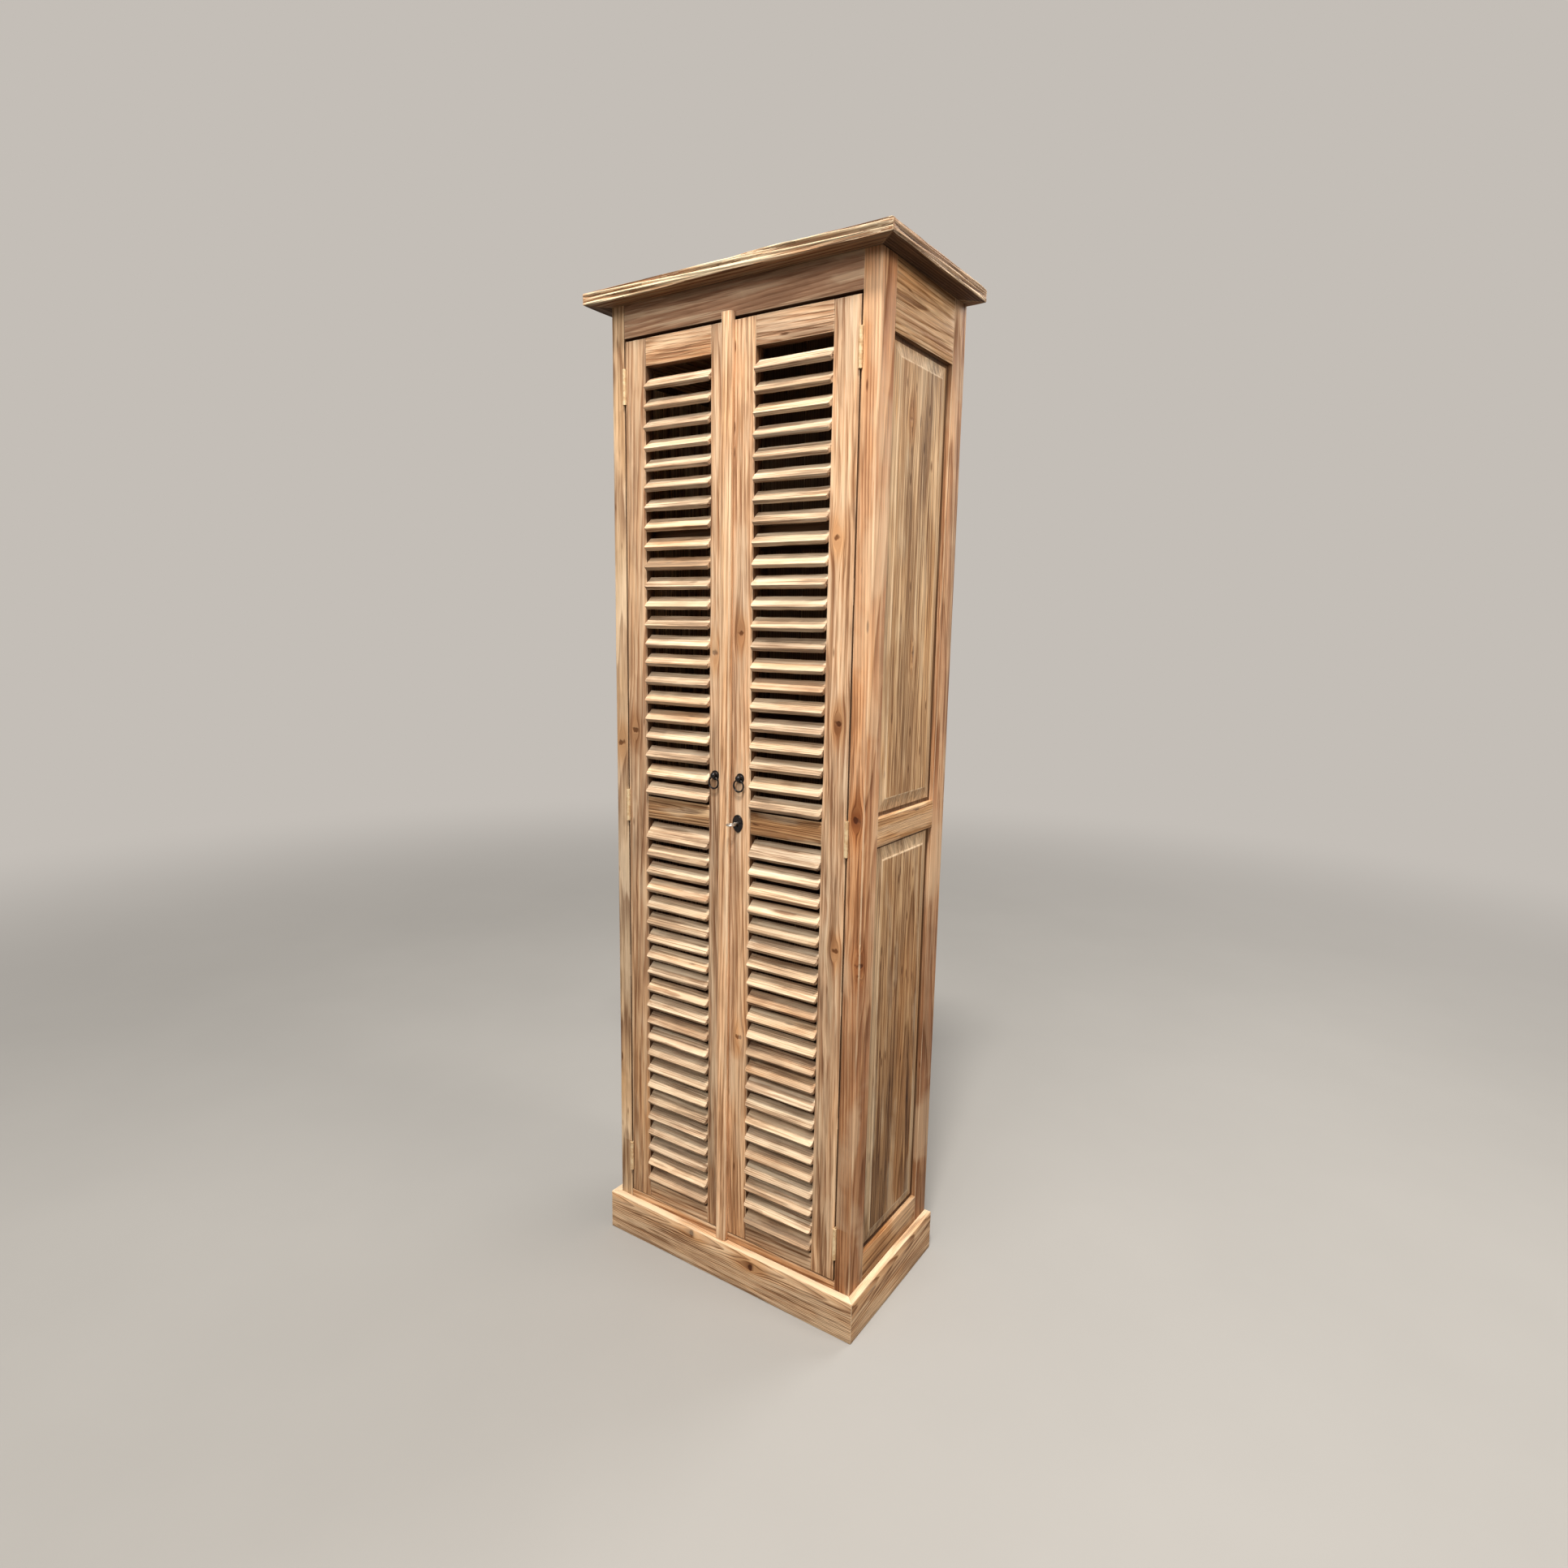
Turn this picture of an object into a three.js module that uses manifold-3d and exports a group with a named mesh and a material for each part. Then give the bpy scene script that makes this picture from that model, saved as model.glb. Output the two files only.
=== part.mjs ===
// Louvred two-door cabinet in reclaimed teak, in millimetres, +Z up.
// The front faces -Y. The origin is the middle of the outer box's footprint, on the floor.
// Sizes below are measured from the middle of the body, its front face and the floor,
// and the outermost group moves that point to the origin.

import * as THREE from "three";
import { mergeVertices } from "three/addons/utils/BufferGeometryUtils.js";
import Module from "manifold-3d";

const wasm = await Module();
wasm.setup();

// Whole cabinet
const overallHeight = 2100;
const bodyWidth = 630;
const bodyDepth = 356;

// Small clearances shared by all joints
const jointGap = 0.3;
const cutOverrun = 1;

// Cornice board
const corniceThickness = 23;
const corniceFrontOverhang = 41;
const corniceSideOverhang = 40;
const corniceBackOverhang = 3;
const corniceChamfer = 2;

// Corner posts
const postWidth = 35;
const postDepth = 55;
const postArrisRadius = 4;

// Front rail over the doors, with the rebate that stops them
const frontRailHeight = 65;
const frontRailThickness = 40;
const frontRailRecess = 0.5;
const doorStopDrop = 14;
const doorStopGap = 1;

// Tenons of the body frame
const tenonLength = 16;
const tenonThickness = 8;
const tenonShoulder = 10;
const tenonInset = 9;

// Side frames
const sideRailThickness = 22;
const sideTopRailHeight = 124;
const sideMidRailHeight = 57;
const sideMidRailBottom = 1021;
const sideBottomRailTop = 154;
const sideBottomRailHeight = 124;

// Raised side panels
const panelGrooveDepth = 8;
const panelTongueThickness = 7.4;
const panelTongueReach = 7;
const panelBevelWidth = 30;
const panelBevelRise = 3.6;
const panelFieldStep = 1;

// Back panel of boards in a rebate
const backThickness = 8;
const backRebateWidth = 12;
const backBoardCount = 5;
const backGrooveWidth = 3;
const backGrooveDepth = 2;
const backBottom = 40;

// Floor board and shelves
const floorTop = 108;
const floorThickness = 22;
const floorHousingDepth = 6;
const shelfCount = 4;
const shelfThickness = 18;
const shelfHousingDepth = 6;
const shelfLockGap = 2;

// Plinth boards round the foot of the body
const plinthHeight = 92;
const plinthThickness = 17;

// Doors
const doorThickness = 25;
const doorSideGap = 3;
const doorTopGap = 6;
const doorBottomGap = 3;
const doorOuterStileWidth = 55;
const louvreInnerX = 53;
const doorTopRailHeight = 54;
const doorMidRailHeight = 48;
const doorMidRailBottom = 1020;
const doorBottomRailHeight = 39;
const doorTenonLength = 20;
const doorTenonThickness = 8;
const doorTenonShoulder = 8;

// Cover strip on the right door, over the line where the doors meet
const coverStripWidth = 26;
const coverStripThickness = 12;
const coverStripCentre = -8;
const coverStripRadius = 5;
const coverStripLap = 8;
const coverStripFootGap = 2;
const meetingGap = 2.5;

// Louvres
const slatCount = 22;
const slatWidth = 31;
const slatThickness = 9.8;
const slatTilt = THREE.MathUtils.degToRad(40);
const slatNoseRadius = 3;
const slatProjection = 11;
const slatTopMargin = 49;
const slatBottomMargin = 4;
const tieStripThickness = 8;
const tieStripReach = 7;
const tieStripProud = 1.5;

// Butt hinges
const hingeLength = 70;
const hingeBarrelRadius = 4.2;
const hingePinRadius = 2;
const hingePinClearance = 0.2;
const hingeBarrelClearance = 0.5;
const hingeLeafThickness = 1.6;
const hingeLeafWidth = 20;
const hingeLeafSpacing = 1;
const hingeAxisForward = 1.5;
const hingeKnuckleCount = 5;
const hingeBottomInset = 85;
const hingeTopInset = 88;
const hingeAboveMidRailFoot = 22;
const hingeNames = ["bottom", "middle", "top"];

// Ring pulls
const pullAboveLock = 93;
const leftPullX = -37;
const rightPullX = 27;
const pullPlateRadius = 10;
const pullPlateThickness = 1.5;
const pullBallRadius = 7;
const pullBallForward = 6;
const pullEyeDrop = 3;
const pullShankRadius = 2;
const pullShankLength = 16;
const ringRadius = 12;
const ringWireRadius = 1.5;
const ringEyeClearance = 0.4;

// Lock, key and escutcheon
const lockX = 22;
const lockAboveMidRailFoot = 20;
const escutcheonHalfWidth = 13;
const escutcheonRise = 17;
const escutcheonDrop = 20;
const escutcheonThickness = 2;
const lockCaseLeft = 40;
const lockCaseRight = 10;
const lockCaseHeight = 60;
const lockCaseDepth = 10;
const lockCaseWall = 1.5;
const boltHeight = 12;
const boltThickness = 5;
const boltTailGap = 10;
const keyShankRadius = 2.5;
const keyShankForward = 16;
const keyBitReach = 8;
const keyBitThickness = 2.4;
const keyBowRadius = 8.3;
const keyBowWireRadius = 1.7;
const keyHoleClearance = 0.5;

// Derived places
const bodyTop = overallHeight - corniceThickness;
const postOuterX = bodyWidth / 2;
const postInnerX = postOuterX - postWidth;
const openingTop = bodyTop - frontRailHeight;
const doorTop = openingTop - doorTopGap;
const doorBottom = floorTop + doorBottomGap;
const doorOuterX = postInnerX - doorSideGap;
const louvreOuterX = doorOuterX - doorOuterStileWidth;
const stripLeftX = coverStripCentre - coverStripWidth / 2;
const stripRightX = coverStripCentre + coverStripWidth / 2;
const lockHeight = doorMidRailBottom + lockAboveMidRailFoot;
const pullHeight = lockHeight + pullAboveLock;
const hingeAxisX = postInnerX - doorSideGap / 2;
const hingeAxisY = -hingeAxisForward;
const hingeHeights = [
  doorBottom + hingeBottomInset,
  doorMidRailBottom + hingeAboveMidRailFoot,
  doorTop - hingeTopInset,
];
const originShiftY = (corniceFrontOverhang - corniceBackOverhang - bodyDepth) / 2;
const backFrontFaceY = bodyDepth - backThickness;
const sideBottomRailBottom = sideBottomRailTop - sideBottomRailHeight;

// Materials
function material(color, roughness, metalness = 0) {
  return new THREE.MeshStandardMaterial({ color, roughness, metalness });
}
const teak = material(0xc39a6c, 0.6);
const sideTeak = material(0xb3895c, 0.6);
const louvreTeak = material(0xd9b98c, 0.6);
const corniceTeak = material(0xb9926a, 0.7);
const plinthTeak = material(0xbd9264, 0.55);
const innerTeak = material(0xa98258, 0.7);
const blackIron = material(0x1c1a1a, 0.35, 0.8);
const brass = material(0xd8c48a, 0.35, 0.9);
const steel = material(0xb8b4ac, 0.35, 0.9);

// Conversions between three.js geometry and solids that can be cut and joined
function solidOf(geometry) {
  const plain = geometry.clone();
  plain.deleteAttribute("normal");
  plain.deleteAttribute("uv");
  const merged = mergeVertices(plain);
  const corners = merged.index.array;
  const triangles = [];
  for (let i = 0; i < corners.length; i += 3) {
    const [a, b, c] = corners.slice(i, i + 3);
    if (a !== b && b !== c && c !== a) triangles.push(a, b, c);
  }
  return new wasm.Manifold(
    new wasm.Mesh({
      numProp: 3,
      vertProperties: merged.attributes.position.array,
      triVerts: new Uint32Array(triangles),
    }),
  );
}

function geometryOf(solid) {
  const mesh = solid.getMesh();
  const geometry = new THREE.BufferGeometry();
  geometry.setAttribute("position", new THREE.BufferAttribute(mesh.vertProperties, 3));
  geometry.setIndex(new THREE.BufferAttribute(mesh.triVerts, 1));
  geometry.computeVertexNormals();
  return geometry;
}

function addPiece(group, name, solid, pieceMaterial) {
  const mesh = new THREE.Mesh(geometryOf(solid), pieceMaterial);
  mesh.name = name;
  group.add(mesh);
  return mesh;
}

// A rectangular block between two values on each axis
function block(x, y, z) {
  const geometry = new THREE.BoxGeometry(x[1] - x[0], y[1] - y[0], z[1] - z[0]);
  geometry.translate((x[0] + x[1]) / 2, (y[0] + y[1]) / 2, (z[0] + z[1]) / 2);
  return solidOf(geometry);
}

// An outline of [across, up] points drawn out along an axis
const axisX = new THREE.Vector3(1, 0, 0);
const axisY = new THREE.Vector3(0, 1, 0);
const axisZ = new THREE.Vector3(0, 0, 1);
const alongX = new THREE.Matrix4().makeBasis(axisY, axisZ, axisX);
const alongZ = new THREE.Matrix4();
const towardsFront = new THREE.Matrix4().makeBasis(axisX, axisZ, axisY.clone().negate());

function extruded(shape, depth, turn, curveSegments) {
  const geometry = new THREE.ExtrudeGeometry(shape, { depth, curveSegments, bevelEnabled: false });
  geometry.applyMatrix4(turn);
  return geometry;
}

function outline(points) {
  return new THREE.Shape(points.map(([across, up]) => new THREE.Vector2(across, up)));
}

function cylinderZ(radius, z, x, y, segments = 16) {
  const geometry = new THREE.CylinderGeometry(radius, radius, z[1] - z[0], segments);
  geometry.rotateX(Math.PI / 2);
  geometry.translate(x, y, (z[0] + z[1]) / 2);
  return solidOf(geometry);
}

function cylinderY(radius, y, x, z, segments = 12) {
  const geometry = new THREE.CylinderGeometry(radius, radius, y[1] - y[0], segments);
  geometry.translate(x, (y[0] + y[1]) / 2, z);
  return solidOf(geometry);
}

// A stack of rectangles, each { halfAcross, halfUp, out }, joined into one closed solid
function rectangleStack(levels) {
  const positions = levels.flatMap(({ halfAcross, halfUp, out }) => [
    [-halfAcross, -halfUp, out],
    [halfAcross, -halfUp, out],
    [halfAcross, halfUp, out],
    [-halfAcross, halfUp, out],
  ]);
  const last = positions.length - 4;
  const triangles = [0, 2, 1, 0, 3, 2, last, last + 1, last + 2, last, last + 2, last + 3];
  for (let level = 0; level < last; level += 4) {
    for (let corner = 0; corner < 4; corner += 1) {
      const a = level + corner;
      const b = level + ((corner + 1) % 4);
      triangles.push(a, b, b + 4, a, b + 4, a + 4);
    }
  }
  const geometry = new THREE.BufferGeometry();
  geometry.setAttribute("position", new THREE.Float32BufferAttribute(positions.flat(), 3));
  geometry.setIndex(triangles);
  return geometry;
}

// The same range on the left as on the right of the middle
function onSide(side, range) {
  return side > 0 ? range : [-range[1], -range[0]];
}

function grown([low, high], gap) {
  return [low - gap, high + gap];
}

// Cornice board with eased upper and lower edges
function corniceBoard() {
  const halfWidth = postOuterX + corniceSideOverhang;
  const halfDepth = (bodyDepth + corniceFrontOverhang + corniceBackOverhang) / 2;
  const level = (inset, out) => ({ halfAcross: halfWidth - inset, halfUp: halfDepth - inset, out });
  const geometry = rectangleStack([
    level(corniceChamfer, bodyTop),
    level(0, bodyTop + corniceChamfer),
    level(0, overallHeight - corniceChamfer),
    level(corniceChamfer, overallHeight),
  ]);
  geometry.translate(0, halfDepth - corniceFrontOverhang, 0);
  return solidOf(geometry);
}

// Places of the side rails, bottom to top
const sideRails = [
  { name: "bottom_rail", z: [sideBottomRailBottom, sideBottomRailTop] },
  { name: "mid_rail", z: [sideMidRailBottom, sideMidRailBottom + sideMidRailHeight] },
  { name: "top_rail", z: [bodyTop - sideTopRailHeight, bodyTop] },
];
const sidePanels = [
  { name: "lower_panel", z: [sideRails[0].z[1], sideRails[1].z[0]] },
  { name: "upper_panel", z: [sideRails[1].z[1], sideRails[2].z[0]] },
];
const sideSpanY = [postDepth, bodyDepth - postDepth];
const tenonX = [postOuterX - tenonInset - tenonThickness, postOuterX - tenonInset];
const panelGrooveWidth = panelTongueThickness + 2 * jointGap;
const grooveX = [tenonX[0], tenonX[0] + panelGrooveWidth];

function tenonZ([low, high]) {
  return [low + tenonShoulder, high - tenonShoulder];
}

function sideRail(side, { z }) {
  const outer = onSide(side, [postOuterX - sideRailThickness, postOuterX]);
  const tenon = block(onSide(side, tenonX), grown(sideSpanY, tenonLength), tenonZ(z));
  let rail = block(outer, sideSpanY, z).add(tenon);
  const grooveFaces = [
    [z[1] - panelGrooveDepth, z[1] + cutOverrun],
    [z[0] - cutOverrun, z[0] + panelGrooveDepth],
  ];
  sidePanels.forEach((panel) => {
    grooveFaces.forEach((face, upward) => {
      if (panel.z[upward] !== z[1 - upward]) return;
      rail = rail.subtract(block(onSide(side, grooveX), grown(sideSpanY, cutOverrun), face));
    });
  });
  if (z[1] > floorTop && z[0] < floorTop) {
    const housing = [postOuterX - sideRailThickness - cutOverrun, floorHalfWidth + jointGap];
    const floorZ = [floorTop - floorThickness, floorTop + jointGap];
    rail = rail.subtract(block(onSide(side, housing), grown(sideSpanY, tenonLength), floorZ));
  }
  return rail;
}

function sidePanel(side, { z }) {
  const halfAcross = (sideSpanY[1] - sideSpanY[0]) / 2 + panelTongueReach;
  const halfUp = (z[1] - z[0]) / 2 + panelTongueReach;
  const fieldInset = panelTongueReach + panelBevelWidth;
  const level = (inset, out) => ({ halfAcross: halfAcross - inset, halfUp: halfUp - inset, out });
  const bevelTop = panelTongueThickness + panelBevelRise;
  const geometry = rectangleStack([
    level(0, 0),
    level(0, panelTongueThickness),
    level(panelTongueReach, panelTongueThickness),
    level(fieldInset, bevelTop),
    level(fieldInset, bevelTop + panelFieldStep),
  ]);
  const outward = new THREE.Matrix4().makeBasis(axisY, axisZ, axisX);
  geometry.applyMatrix4(outward);
  if (side < 0) geometry.rotateZ(Math.PI);
  const backX = side * (tenonX[0] + jointGap);
  geometry.translate(backX, (sideSpanY[0] + sideSpanY[1]) / 2, (z[0] + z[1]) / 2);
  return solidOf(geometry);
}

// Shelf heights share the opening evenly
const shelfPitch = (openingTop - floorTop) / (shelfCount + 1);
const shelfTops = Array.from({ length: shelfCount }, (_, i) => floorTop + shelfPitch * (i + 1));
const shelfHalfWidth = postInnerX + shelfHousingDepth;
const shelfY = [doorThickness + lockCaseDepth + shelfLockGap, backFrontFaceY - jointGap];
const floorHalfWidth = postOuterX - sideRailThickness + floorHousingDepth;

function shelf(top) {
  return block([-shelfHalfWidth, shelfHalfWidth], shelfY, [top - shelfThickness, top]);
}

function postSpanY(isFront) {
  return isFront ? [0, postDepth] : [bodyDepth - postDepth, bodyDepth];
}

// One corner post: its mortises, panel grooves, shelf housings, rebate and hinge seats
function cornerPost(side, isFront) {
  const [front, back] = postSpanY(isFront);
  const arris = postArrisRadius;
  const shape = new THREE.Shape();
  shape.moveTo(postInnerX, front);
  if (isFront) {
    shape.lineTo(postOuterX - arris, front);
    shape.absarc(postOuterX - arris, front + arris, arris, -Math.PI / 2, 0, false);
    shape.lineTo(postOuterX, back);
  } else {
    shape.lineTo(postOuterX, front);
    shape.lineTo(postOuterX, back);
  }
  shape.lineTo(postInnerX, back);
  const arrisSegments = 3;
  const geometry = extruded(shape, bodyTop, alongZ, arrisSegments);
  let post = solidOf(geometry);
  const jointFaceY = isFront ? [back - tenonLength, back] : [front, front + tenonLength];
  const mortiseY = grown(jointFaceY, cutOverrun);
  sideRails.forEach(({ z }) => {
    post = post.subtract(block(grown(tenonX, jointGap), mortiseY, grown(tenonZ(z), jointGap)));
  });
  const grooveY = isFront
    ? [back - panelGrooveDepth, back + cutOverrun]
    : [front - cutOverrun, front + panelGrooveDepth];
  sidePanels.forEach(({ z }) => {
    post = post.subtract(block(grooveX, grooveY, grown(z, panelGrooveDepth)));
  });
  shelfTops.forEach((top) => {
    const housingX = [postInnerX - cutOverrun, shelfHalfWidth + jointGap];
    const housingY = grown(shelfY, jointGap);
    post = post.subtract(block(housingX, housingY, [top - shelfThickness, top + jointGap]));
  });
  if (isFront) {
    const railTenonX = [postInnerX - cutOverrun, postInnerX + tenonLength + cutOverrun];
    const railTenon = block(railTenonX, grown(frontTenonY, jointGap), grown(frontTenonZ, jointGap));
    post = post.subtract(railTenon);
    hingeHeights.forEach((height) => {
      post = post.subtract(hingeSeat(height, postInnerX, 1));
    });
  } else {
    const rebateX = [postInnerX - cutOverrun, postInnerX + backRebateWidth + jointGap];
    const rebateY = [backFrontFaceY - jointGap, bodyDepth + cutOverrun];
    post = post.subtract(block(rebateX, rebateY, [backBottom - jointGap, bodyTop + cutOverrun]));
  }
  return side > 0 ? post : post.mirror([1, 0, 0]);
}

// Room in a post or a stile for one hinge's leaf and barrel
function hingeSeat(height, faceX, inward) {
  const z = grown([height - hingeLength / 2, height + hingeLength / 2], jointGap);
  const leafDepth = (doorSideGap - hingeLeafSpacing) / 2;
  const seatDepth = hingeLeafThickness - leafDepth + jointGap;
  const x = [faceX - inward * cutOverrun, faceX + inward * seatDepth].sort((a, b) => a - b);
  const leaf = block(x, [-cutOverrun, hingeLeafWidth + jointGap], z);
  const barrelRadius = hingeBarrelRadius + hingeBarrelClearance;
  return leaf.add(cylinderZ(barrelRadius, z, hingeAxisX, hingeAxisY));
}

// Front rail over the doors: a tenoned rail with a lip that the doors close against
const frontTenonY = [tenonInset + frontRailRecess, tenonInset + frontRailRecess + tenonThickness];
const frontTenonZ = [openingTop + tenonShoulder, bodyTop - tenonShoulder];

function frontTopRail() {
  const span = [-postInnerX, postInnerX];
  const rail = block(span, [frontRailRecess, frontRailThickness], [openingTop, bodyTop]);
  const stopY = [doorThickness + doorStopGap, frontRailThickness];
  const stop = block(span, stopY, [openingTop - doorStopDrop, openingTop + cutOverrun]);
  const tenons = block(grown(span, tenonLength), frontTenonY, frontTenonZ);
  return rail.add(stop).add(tenons);
}

// Floor board, notched round the posts and let into the lower side rails
function floorBoard() {
  const floorZ = [floorTop - floorThickness, floorTop];
  const floorY = [frontRailRecess, backFrontFaceY - jointGap];
  let board = block([-floorHalfWidth, floorHalfWidth], floorY, floorZ);
  [-1, 1].forEach((side) => {
    [true, false].forEach((isFront) => {
      const notchX = [postInnerX - jointGap, floorHalfWidth + cutOverrun];
      const reach = isFront ? [-cutOverrun, jointGap] : [-jointGap, cutOverrun];
      const [front, back] = postSpanY(isFront);
      const notchY = [front + reach[0], back + reach[1]];
      board = board.subtract(block(onSide(side, notchX), notchY, grown(floorZ, cutOverrun)));
    });
  });
  return board;
}

function backPanel() {
  const halfWidth = postInnerX + backRebateWidth;
  const z = [backBottom, bodyTop];
  const boardWidth = (2 * halfWidth) / backBoardCount;
  let panel = block([-halfWidth, halfWidth], [backFrontFaceY, bodyDepth], z);
  for (let i = 1; i < backBoardCount; i += 1) {
    const middle = -halfWidth + boardWidth * i;
    const grooveHalf = backGrooveWidth / 2;
    const groove = outline([
      [middle - grooveHalf, backFrontFaceY],
      [middle, backFrontFaceY + backGrooveDepth],
      [middle + grooveHalf, backFrontFaceY],
      [middle, backFrontFaceY - backGrooveDepth],
    ]);
    const cut = extruded(groove, bodyTop + cutOverrun, alongZ, 1);
    panel = panel.subtract(solidOf(cut));
  }
  return panel;
}

// Plinth boards, mitred at the two front corners
function plinthBoard(points) {
  return solidOf(extruded(outline(points), plinthHeight, alongZ, 1));
}

function plinthFront() {
  const outerX = postOuterX + plinthThickness;
  return plinthBoard([
    [-outerX, -plinthThickness],
    [outerX, -plinthThickness],
    [postOuterX, 0],
    [-postOuterX, 0],
  ]);
}

function plinthSide(side) {
  const outerX = postOuterX + plinthThickness;
  const board = plinthBoard([
    [postOuterX, 0],
    [outerX, -plinthThickness],
    [outerX, bodyDepth],
    [postOuterX, bodyDepth],
  ]);
  return side > 0 ? board : board.mirror([1, 0, 0]);
}

// Door frames. Every door value is a range on the right side of the middle,
// and onSide turns it over for the left door.
const doorY = [0, doorThickness];
const doorZ = [doorBottom, doorTop];
const doorTenonY = [(doorThickness - doorTenonThickness) / 2, (doorThickness + doorTenonThickness) / 2];
const doorRails = [
  { name: "bottom_rail", z: [doorBottom, doorBottom + doorBottomRailHeight] },
  { name: "mid_rail", z: [doorMidRailBottom, doorMidRailBottom + doorMidRailHeight] },
  { name: "top_rail", z: [doorTop - doorTopRailHeight, doorTop] },
];
const louvreFields = [
  { name: "lower_louvres", z: [doorRails[0].z[1], doorRails[1].z[0]] },
  { name: "upper_louvres", z: [doorRails[1].z[1], doorRails[2].z[0]] },
];
const tieStripY = [
  (doorThickness - tieStripThickness) / 2 + jointGap,
  (doorThickness + tieStripThickness) / 2 - jointGap,
];

function doorTenonZ([low, high]) {
  return [low + doorTenonShoulder, high - doorTenonShoulder];
}

// A stile runs from its louvre edge at edgeX outwards to faceX
function doorStile(edgeX, faceX) {
  const x = [Math.min(edgeX, faceX), Math.max(edgeX, faceX)];
  const inward = Math.sign(faceX - edgeX);
  const cut = (reach) => [edgeX - inward * cutOverrun, edgeX + inward * reach].sort((a, b) => a - b);
  let stile = block(x, doorY, doorZ);
  doorRails.forEach(({ z }) => {
    const mortiseZ = grown(doorTenonZ(z), jointGap);
    const mortise = block(cut(doorTenonLength + jointGap), grown(doorTenonY, jointGap), mortiseZ);
    stile = stile.subtract(mortise);
  });
  louvreFields.forEach(({ z }) => {
    stile = stile.subtract(block(cut(tieStripReach), grown(tieStripY, jointGap), z));
  });
  return stile;
}

function doorRail(x, { z }) {
  const rail = block(x, doorY, z);
  return rail.add(block(grown(x, doorTenonLength), doorTenonY, doorTenonZ(z)));
}

function outerStile(side) {
  let stile = doorStile(louvreOuterX, doorOuterX);
  hingeHeights.forEach((height) => {
    stile = stile.subtract(hingeSeat(height, doorOuterX, -1));
  });
  return side > 0 ? stile : stile.mirror([1, 0, 0]);
}

function pullScrewHole(x) {
  const radius = pullShankRadius + keyHoleClearance;
  return cylinderY(radius, [-cutOverrun, pullShankLength + jointGap], x, pullHeight);
}

function keyHole() {
  const y = [-cutOverrun - escutcheonThickness, doorThickness + cutOverrun];
  const slotHalf = keyBitThickness / 2 + keyHoleClearance;
  const slotX = [lockX - slotHalf, lockX + slotHalf];
  const slotZ = [lockHeight - keyBitReach - keyHoleClearance, lockHeight];
  return cylinderY(keyShankRadius + keyHoleClearance, y, lockX, lockHeight).add(block(slotX, y, slotZ));
}

function leftInnerStile() {
  return doorStile(-louvreInnerX, stripLeftX - meetingGap).subtract(pullScrewHole(leftPullX));
}

function rightInnerStile() {
  return doorStile(louvreInnerX, stripLeftX).subtract(pullScrewHole(rightPullX)).subtract(keyHole());
}

// A slat's section: a board that slopes down to the front, with a rounded nose
function slatSection(noseBottom) {
  const lengthway = new THREE.Vector2(-Math.cos(slatTilt), -Math.sin(slatTilt));
  const upward = new THREE.Vector2(-Math.sin(slatTilt), Math.cos(slatTilt));
  const halfWidth = slatWidth / 2;
  const halfThickness = slatThickness / 2;
  const halfDepth = halfWidth * Math.cos(slatTilt) + halfThickness * Math.sin(slatTilt);
  const halfHeight = halfWidth * Math.sin(slatTilt) + halfThickness * Math.cos(slatTilt);
  const middle = new THREE.Vector2(halfDepth - slatProjection, noseBottom + halfHeight);
  const at = (along, up) => {
    const point = middle.clone();
    point.addScaledVector(lengthway, along);
    point.addScaledVector(upward, up);
    return point;
  };
  return new THREE.Shape([
    at(-halfWidth, -halfThickness),
    at(halfWidth - slatNoseRadius, -halfThickness),
    at(halfWidth, slatNoseRadius - halfThickness),
    at(halfWidth, halfThickness - slatNoseRadius),
    at(halfWidth - slatNoseRadius, halfThickness),
    at(-halfWidth, halfThickness),
  ]);
}

// All slats of one field, tied by two thin strips that lie in the stiles' grooves
function louvreBank(x, { z }) {
  const slatX = [x[0] + jointGap, x[1] - jointGap];
  const firstNose = z[1] - slatTopMargin;
  const lastNose = z[0] + slatBottomMargin;
  const pitch = (firstNose - lastNose) / (slatCount - 1);
  const stripZ = grown(z, -jointGap);
  const reach = tieStripReach - jointGap;
  let bank = block([x[0] - reach, x[0] + tieStripProud], tieStripY, stripZ);
  bank = bank.add(block([x[1] - tieStripProud, x[1] + reach], tieStripY, stripZ));
  for (let i = 0; i < slatCount; i += 1) {
    const section = slatSection(lastNose + pitch * i);
    const slat = extruded(section, slatX[1] - slatX[0], alongX, 1);
    slat.translate(slatX[0], 0, 0);
    bank = bank.add(solidOf(slat));
  }
  return bank;
}

// Cover strip with rounded front edges
function coverStrip() {
  const radius = coverStripRadius;
  const front = -coverStripThickness;
  const shape = new THREE.Shape();
  shape.moveTo(stripRightX, 0);
  shape.lineTo(stripLeftX, 0);
  shape.lineTo(stripLeftX, front + radius);
  shape.absarc(stripLeftX + radius, front + radius, radius, Math.PI, 1.5 * Math.PI, false);
  shape.absarc(stripRightX - radius, front + radius, radius, -Math.PI / 2, 0, false);
  const bottom = plinthHeight + coverStripFootGap;
  const arcSegments = 3;
  const geometry = extruded(shape, openingTop + coverStripLap - bottom, alongZ, arcSegments);
  geometry.translate(0, 0, bottom);
  return solidOf(geometry);
}

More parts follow.
